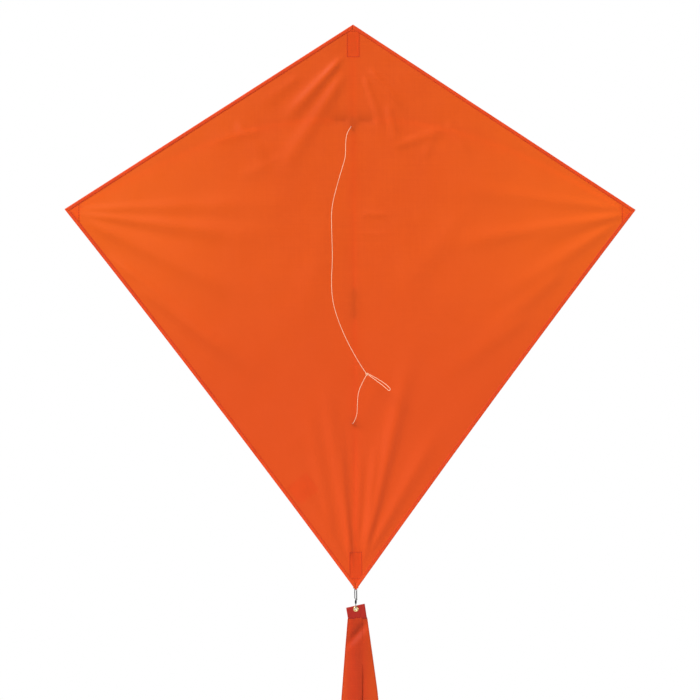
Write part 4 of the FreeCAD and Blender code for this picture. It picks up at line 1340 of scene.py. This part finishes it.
@dataclass
class Tail:
    """The tail: an eyeleted top hem, a pleated strip and a turned-up end."""

    plane: float = -0.00245
    eye: tuple[float, float] = (0.0, -0.6533)
    eye_hole: float = 0.0019
    flat_width: float = 0.064
    pleat_deep: float = 0.0015
    bulge: float = 0.0022
    strip_ends: tuple[float, float] = (-0.6645, -1.547)
    roll_ends: tuple[float, float] = (-0.6665, -1.546)
    foot: float = -1.5497
    foot_seam: float = -1.5337
    dent_at: tuple[float, float] = (0.0020, -0.6865)
    dent_size: tuple[float, float, float] = (0.0066, 0.0150, 0.0032)
    left: Table = (
        (-0.640, -0.0088), (-0.6645, -0.0106), (-0.708, -0.0145), (-0.775, -0.0200),
        (-0.900, -0.0300), (-1.548, -0.0320))
    right: Table = (
        (-0.640, 0.0120), (-0.6645, 0.0150), (-0.708, 0.0210), (-0.775, 0.0300),
        (-0.850, 0.0330), (-1.548, 0.0320))
    folding: Table = (
        (-0.66, 3.0), (-0.70, 2.4), (-0.775, 1.6), (-0.85, 0.85), (-0.95, 0.35), (-1.548, 0.12))

    def at(self, table: Table, z: np.ndarray) -> np.ndarray:
        """Returns a table's value at each z, as the mean of its straight runs over 36 mm."""
        rows = np.array(sorted(table))
        near = np.asarray(z)[..., None] + np.linspace(-0.018, 0.018, 13)
        return np.interp(near, rows[:, 0], rows[:, 1]).mean(-1)

    def cloth(self, u: np.ndarray, z: np.ndarray, lift: object = 0.0) -> np.ndarray:
        """Returns points of the pleated strip.

        Across it, x is the left edge plus the width times u plus the fold's amount times the sine
        of a full turn of u over the turn, so where the amount is over one the cloth runs back
        behind itself. y is the plane less the pleat's depth times that sine, less a bulge at the
        top and slow waves below it, plus one slanting dent.

        Args:
            u: the place across the cloth, from 0 to 1.
            z: the height.
            lift: how far back to move the points.

        Returns:
            The points, in the shape of u and z by 3.
        """
        left, right = self.at(self.left, z), self.at(self.right, z)
        fold = self.at(self.folding, z)
        turn = 2 * math.pi * u
        x = left + (right - left) * (u + fold * np.sin(turn) / (2 * math.pi))
        opened = 1 - smoothstep(-0.742, -0.716, z)
        y = self.plane - self.pleat_deep * np.sin(turn) * (0.22 + 0.78 * opened)
        share = (x - left) / (right - left)
        round_front = self.bulge * 4 * share * (1 - share) * (1 - smoothstep(-0.71, -0.67, z))
        wave = 0.0016 * np.sin(7.5 * z + 1.2) * np.sin(math.pi * u + 3 * z)
        wave = wave + 0.0009 * np.sin(23 * z + 5 * u + 0.4)
        wide, high, deep = self.dent_size
        up = z - self.dent_at[1]
        away = x - self.dent_at[0] - 0.80 * up
        dent = deep * np.exp(-((away / wide) ** 2) - ((up / high) ** 2))
        y = y + dent - round_front - wave * (1 - smoothstep(-0.80, -0.67, z))
        return np.stack([x, y + lift, z], -1)

    def strip(self) -> bpy.types.Object:
        """The pleated strip, as a grid across and down."""
        z, u = np.meshgrid(np.linspace(*self.strip_ends, 300), np.linspace(0.0, 1.0, 61),
                           indexing="ij")
        piece = publish("tail_sheet", [lattice(self.cloth(u, z), flip=True)], TAIL_CLOTH,
                        closed=False, thickness=0.00022)
        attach(piece, "tail")
        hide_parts("tail_strip")
        return piece

    def side_seams(self) -> bpy.types.Object:
        """The strip's rolled side edges: a thin closed roll of cloth down each."""
        z = np.linspace(*self.roll_ends, 260)
        roll = circle(8) * (0.0007, 0.00045)
        shells = [closed_tube(swept(self.cloth(np.full(z.shape, u), z), roll, (0.0, 1.0, 0.0)))
                  for u in (0.004, 0.996)]
        piece = publish("tail_side_rolls", shells, TAIL_CLOTH)
        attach(piece, "tail")
        return piece

    def top_hem(self) -> list[bpy.types.Object]:
        """The folded top, between the eyelet's hole and its outline, and its seam.

        Each point lies on the straight line from the hole's circle to the outline, and the band's
        half thickness falls off near the outline as the root of one less the eighth power.
        """
        corners = MM * np.array([(-13.0, -651.4), (12.0, -646.3), (15.0, -666.5), (-10.5, -666.5)])
        sides = np.concatenate([a + (b - a) * np.linspace(0, 1, 24, endpoint=False)[:, None]
                                for a, b in zip(corners, np.roll(corners, -1, 0))])
        middle = np.array(self.eye)
        angle = np.arctan2(sides[:, 1] - middle[1], sides[:, 0] - middle[0])
        hole = middle + self.eye_hole * np.stack([np.cos(angle), np.sin(angle)], -1)
        share = np.linspace(0.0, 1.0, 22)
        flat = hole[None] + (sides - hole)[None] * share[:, None, None]
        thick, rim = 0.00052, 0.00003
        half = thick * np.sqrt(np.clip(1 - (share * 0.995) ** 8, 0.0, 1.0)) + rim
        crease = 0.00010 * np.sin(flat[..., 0] * 900 + 1.0) + 0.00008 * np.sin(
            flat[..., 0] * 310 + flat[..., 1] * 500)
        crease = crease * smoothstep(0.004, 0.007, np.linalg.norm(flat - middle, axis=-1))
        front, back = (np.stack([flat[..., 0], self.plane + sign * half[:, None] + crease,
                                 flat[..., 1]], -1) for sign in (-1.0, 1.0))
        around = np.concatenate([front, back[::-1], front[:1]])
        piece = publish("tail_top_fold", [lattice(around, wrap=True)], TAIL_HEM_CLOTH)
        x = np.linspace(-0.0102, 0.0142, 40)
        z = np.full(40, -0.6650)
        rows = [self.row(x, z, self.plane + lift) for lift in (-0.00062, 0.00062)]
        thread = publish("tail_top_seam", rows, TAIL_THREAD)
        for made in (piece, thread):
            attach(made, "tail")
        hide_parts("tail_top_hem")
        return [piece, thread]

    def row(self, x: np.ndarray, z: np.ndarray, y: object, pitch: float = FINE_PITCH) -> Shell:
        """Returns stitches along a level line at a given y."""
        count = int((x[-1] - x[0]) / pitch)
        at = x[0] + (np.arange(count) + 0.5) * (x[-1] - x[0]) / count
        depth = np.interp(at, x, np.broadcast_to(y, x.shape))
        centres = np.stack([at, depth, np.interp(at, x, z)], -1)
        along = np.broadcast_to((1.0, 0.0, 0.0), centres.shape)
        return stitches(centres, along, pitch * 0.8, 0.0004)

    def end_hem(self) -> list[bpy.types.Object]:
        """The strip's turned-up end: a flattened loop across it, and its seam."""
        profile = np.array([(0.0, 0.0), (0.5, -0.5), (3.0, -0.62), (12.0, -0.6), (17.0, -0.5),
                            (18.0, -0.1), (18.0, 0.1), (17.0, 0.5), (12.0, 0.6), (0.5, 0.5)]) * MM
        u = np.linspace(0.0, 1.0, 50)
        z = np.broadcast_to(self.foot + profile[None, :, 0], (len(u), len(profile)))
        rings = self.cloth(np.broadcast_to(u[:, None], z.shape), z, profile[None, :, 1])
        piece = publish("tail_end_fold", [closed_tube(rings)], TAIL_HEM_CLOTH)
        line = self.cloth(u, np.full(len(u), self.foot_seam))
        rows = [self.row(line[:, 0], line[:, 2], line[:, 1] + lift) for lift in (-0.0007, 0.0007)]
        thread = publish("tail_end_seam", rows, TAIL_THREAD)
        for made in (piece, thread):
            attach(made, "tail")
        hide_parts("tail_end_hem")
        return [piece, thread]

    def eyelet(self) -> None:
        """The rolled brass eyelet in front and its toothless washer behind."""
        centre = (self.eye[0], self.plane, self.eye[1])
        shell = MM * np.array([
            (0.95, 1.32), (0.4, 1.30), (-0.4, 1.32), (-0.9, 1.42), (-1.18, 1.75), (-1.25, 2.3),
            (-1.20, 2.85), (-1.02, 3.3), (-0.78, 3.62), (-0.58, 3.68), (-0.52, 3.5), (-0.55, 2.8),
            (-0.55, 1.84), (0.0, 1.82), (0.95, 1.82)])
        washer = MM * np.array([
            (0.56, 1.85), (0.56, 3.6), (0.66, 3.7), (0.78, 3.65), (0.90, 3.3), (1.0, 2.8),
            (1.12, 2.3), (1.2, 1.8), (1.12, 1.42), (0.98, 1.30), (0.9, 1.4), (0.86, 1.85)])
        for name, profile, node in (("rolled_eyelet", shell, "tail_eyelet"),
                                    ("rolled_washer", washer, "eyelet_washer")):
            piece = publish(name, [lathe(profile, centre)], BRASS)
            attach(piece, "tail")
            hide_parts(node)

    def build(self) -> None:
        """Makes the tail."""
        sheet = self.strip()
        sewn = self.top_hem() + self.end_hem() + [self.side_seams()]
        self.eyelet()


# ---- fittings --------------------------------------------------------------------------------


@dataclass
class TailTab:
    """The narrow tape loop at the sail's foot that the snap hooks into."""

    hang: float = -0.00245
    eye_height: float = -0.6257
    sewn_height: float = -0.616
    width: float = 0.0009
    thick: float = 0.0004
    bend: float = 0.00105
    ends: tuple[float, float] = (-0.0013, 0.0005)

    def build(self) -> None:
        """Makes the loop: a flat oval tape section from one sewn end, round the snap and back.

        Round the snap the path is a circle that lacks a gap in front: y is the middle less the
        radius times the sine of an angle, and z is the middle plus the radius times its cosine.
        """
        gap = 0.9
        angle = np.linspace(-1.5 * math.pi + gap, 0.5 * math.pi - gap, 50)
        round_part = np.stack([np.zeros(len(angle)), self.hang - self.bend * np.sin(angle),
                               self.eye_height + self.bend * np.cos(angle)], -1)
        front, back = (np.array((0.0, self.hang + y, self.sewn_height)) for y in self.ends)
        first, last = round_part[0], round_part[-1]
        lead = back + (first - back) * np.linspace(0, 1, 14, endpoint=False)[:, None]
        trail = last + (front - last) * np.linspace(0, 1, 15)[1:, None]
        path = np.concatenate([lead, round_part, trail])
        section = circle(12) * (self.width / 2, self.thick / 2)
        side = np.broadcast_to((1.0, 0.0, 0.0), path.shape)
        rings = rings_on(path, side, np.cross(side, tangents(path)), section)
        piece = publish("tail_tab_tape", [closed_tube(rings)], TAB_TAPE)
        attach(piece, SPINE)
        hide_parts("tail_tab")


CARRIED = {
    "upper_spine_rod": FIBREGLASS, "lower_spine_rod": FIBREGLASS,
    "left_spreader_rod": FIBREGLASS_ACROSS, "right_spreader_rod": FIBREGLASS_ACROSS,
    "spine_ferrule": FERRULE, "cross_fitting": VINYL, "lower_bridle_keeper": VINYL,
    "spine_top_cap": CAP_VINYL, "spine_bottom_cap": CAP_VINYL,
    "left_spreader_cap": CAP_VINYL, "right_spreader_cap": CAP_VINYL,
    "snap_wire": STEEL, "swivel_eye": STEEL, "snap_gate": NICKEL, "swivel_barrel": NICKEL,
}


def dress_frame() -> None:
    """Gives the frame's own hard parts their finishes."""
    for name, finish in CARRIED.items():
        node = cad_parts[name]
        for place in node.material_slots:
            place.material = material_of(finish)
        log.info("%s: kept from the frame, %s", name, finish.name)


def main() -> None:
    """Builds the studio, the bridle, the sail, the tail and the fittings, in that order."""
    Studio().build()
    Bridle().build()
    pockets = SpinePockets().build()
    label = Label().build()
    for side in Side:
        cloth, sewn = SailHalf(side).build()
    Tail().build()
    TailTab().build()
    dress_frame()


if __name__ == "__main__":
    main()
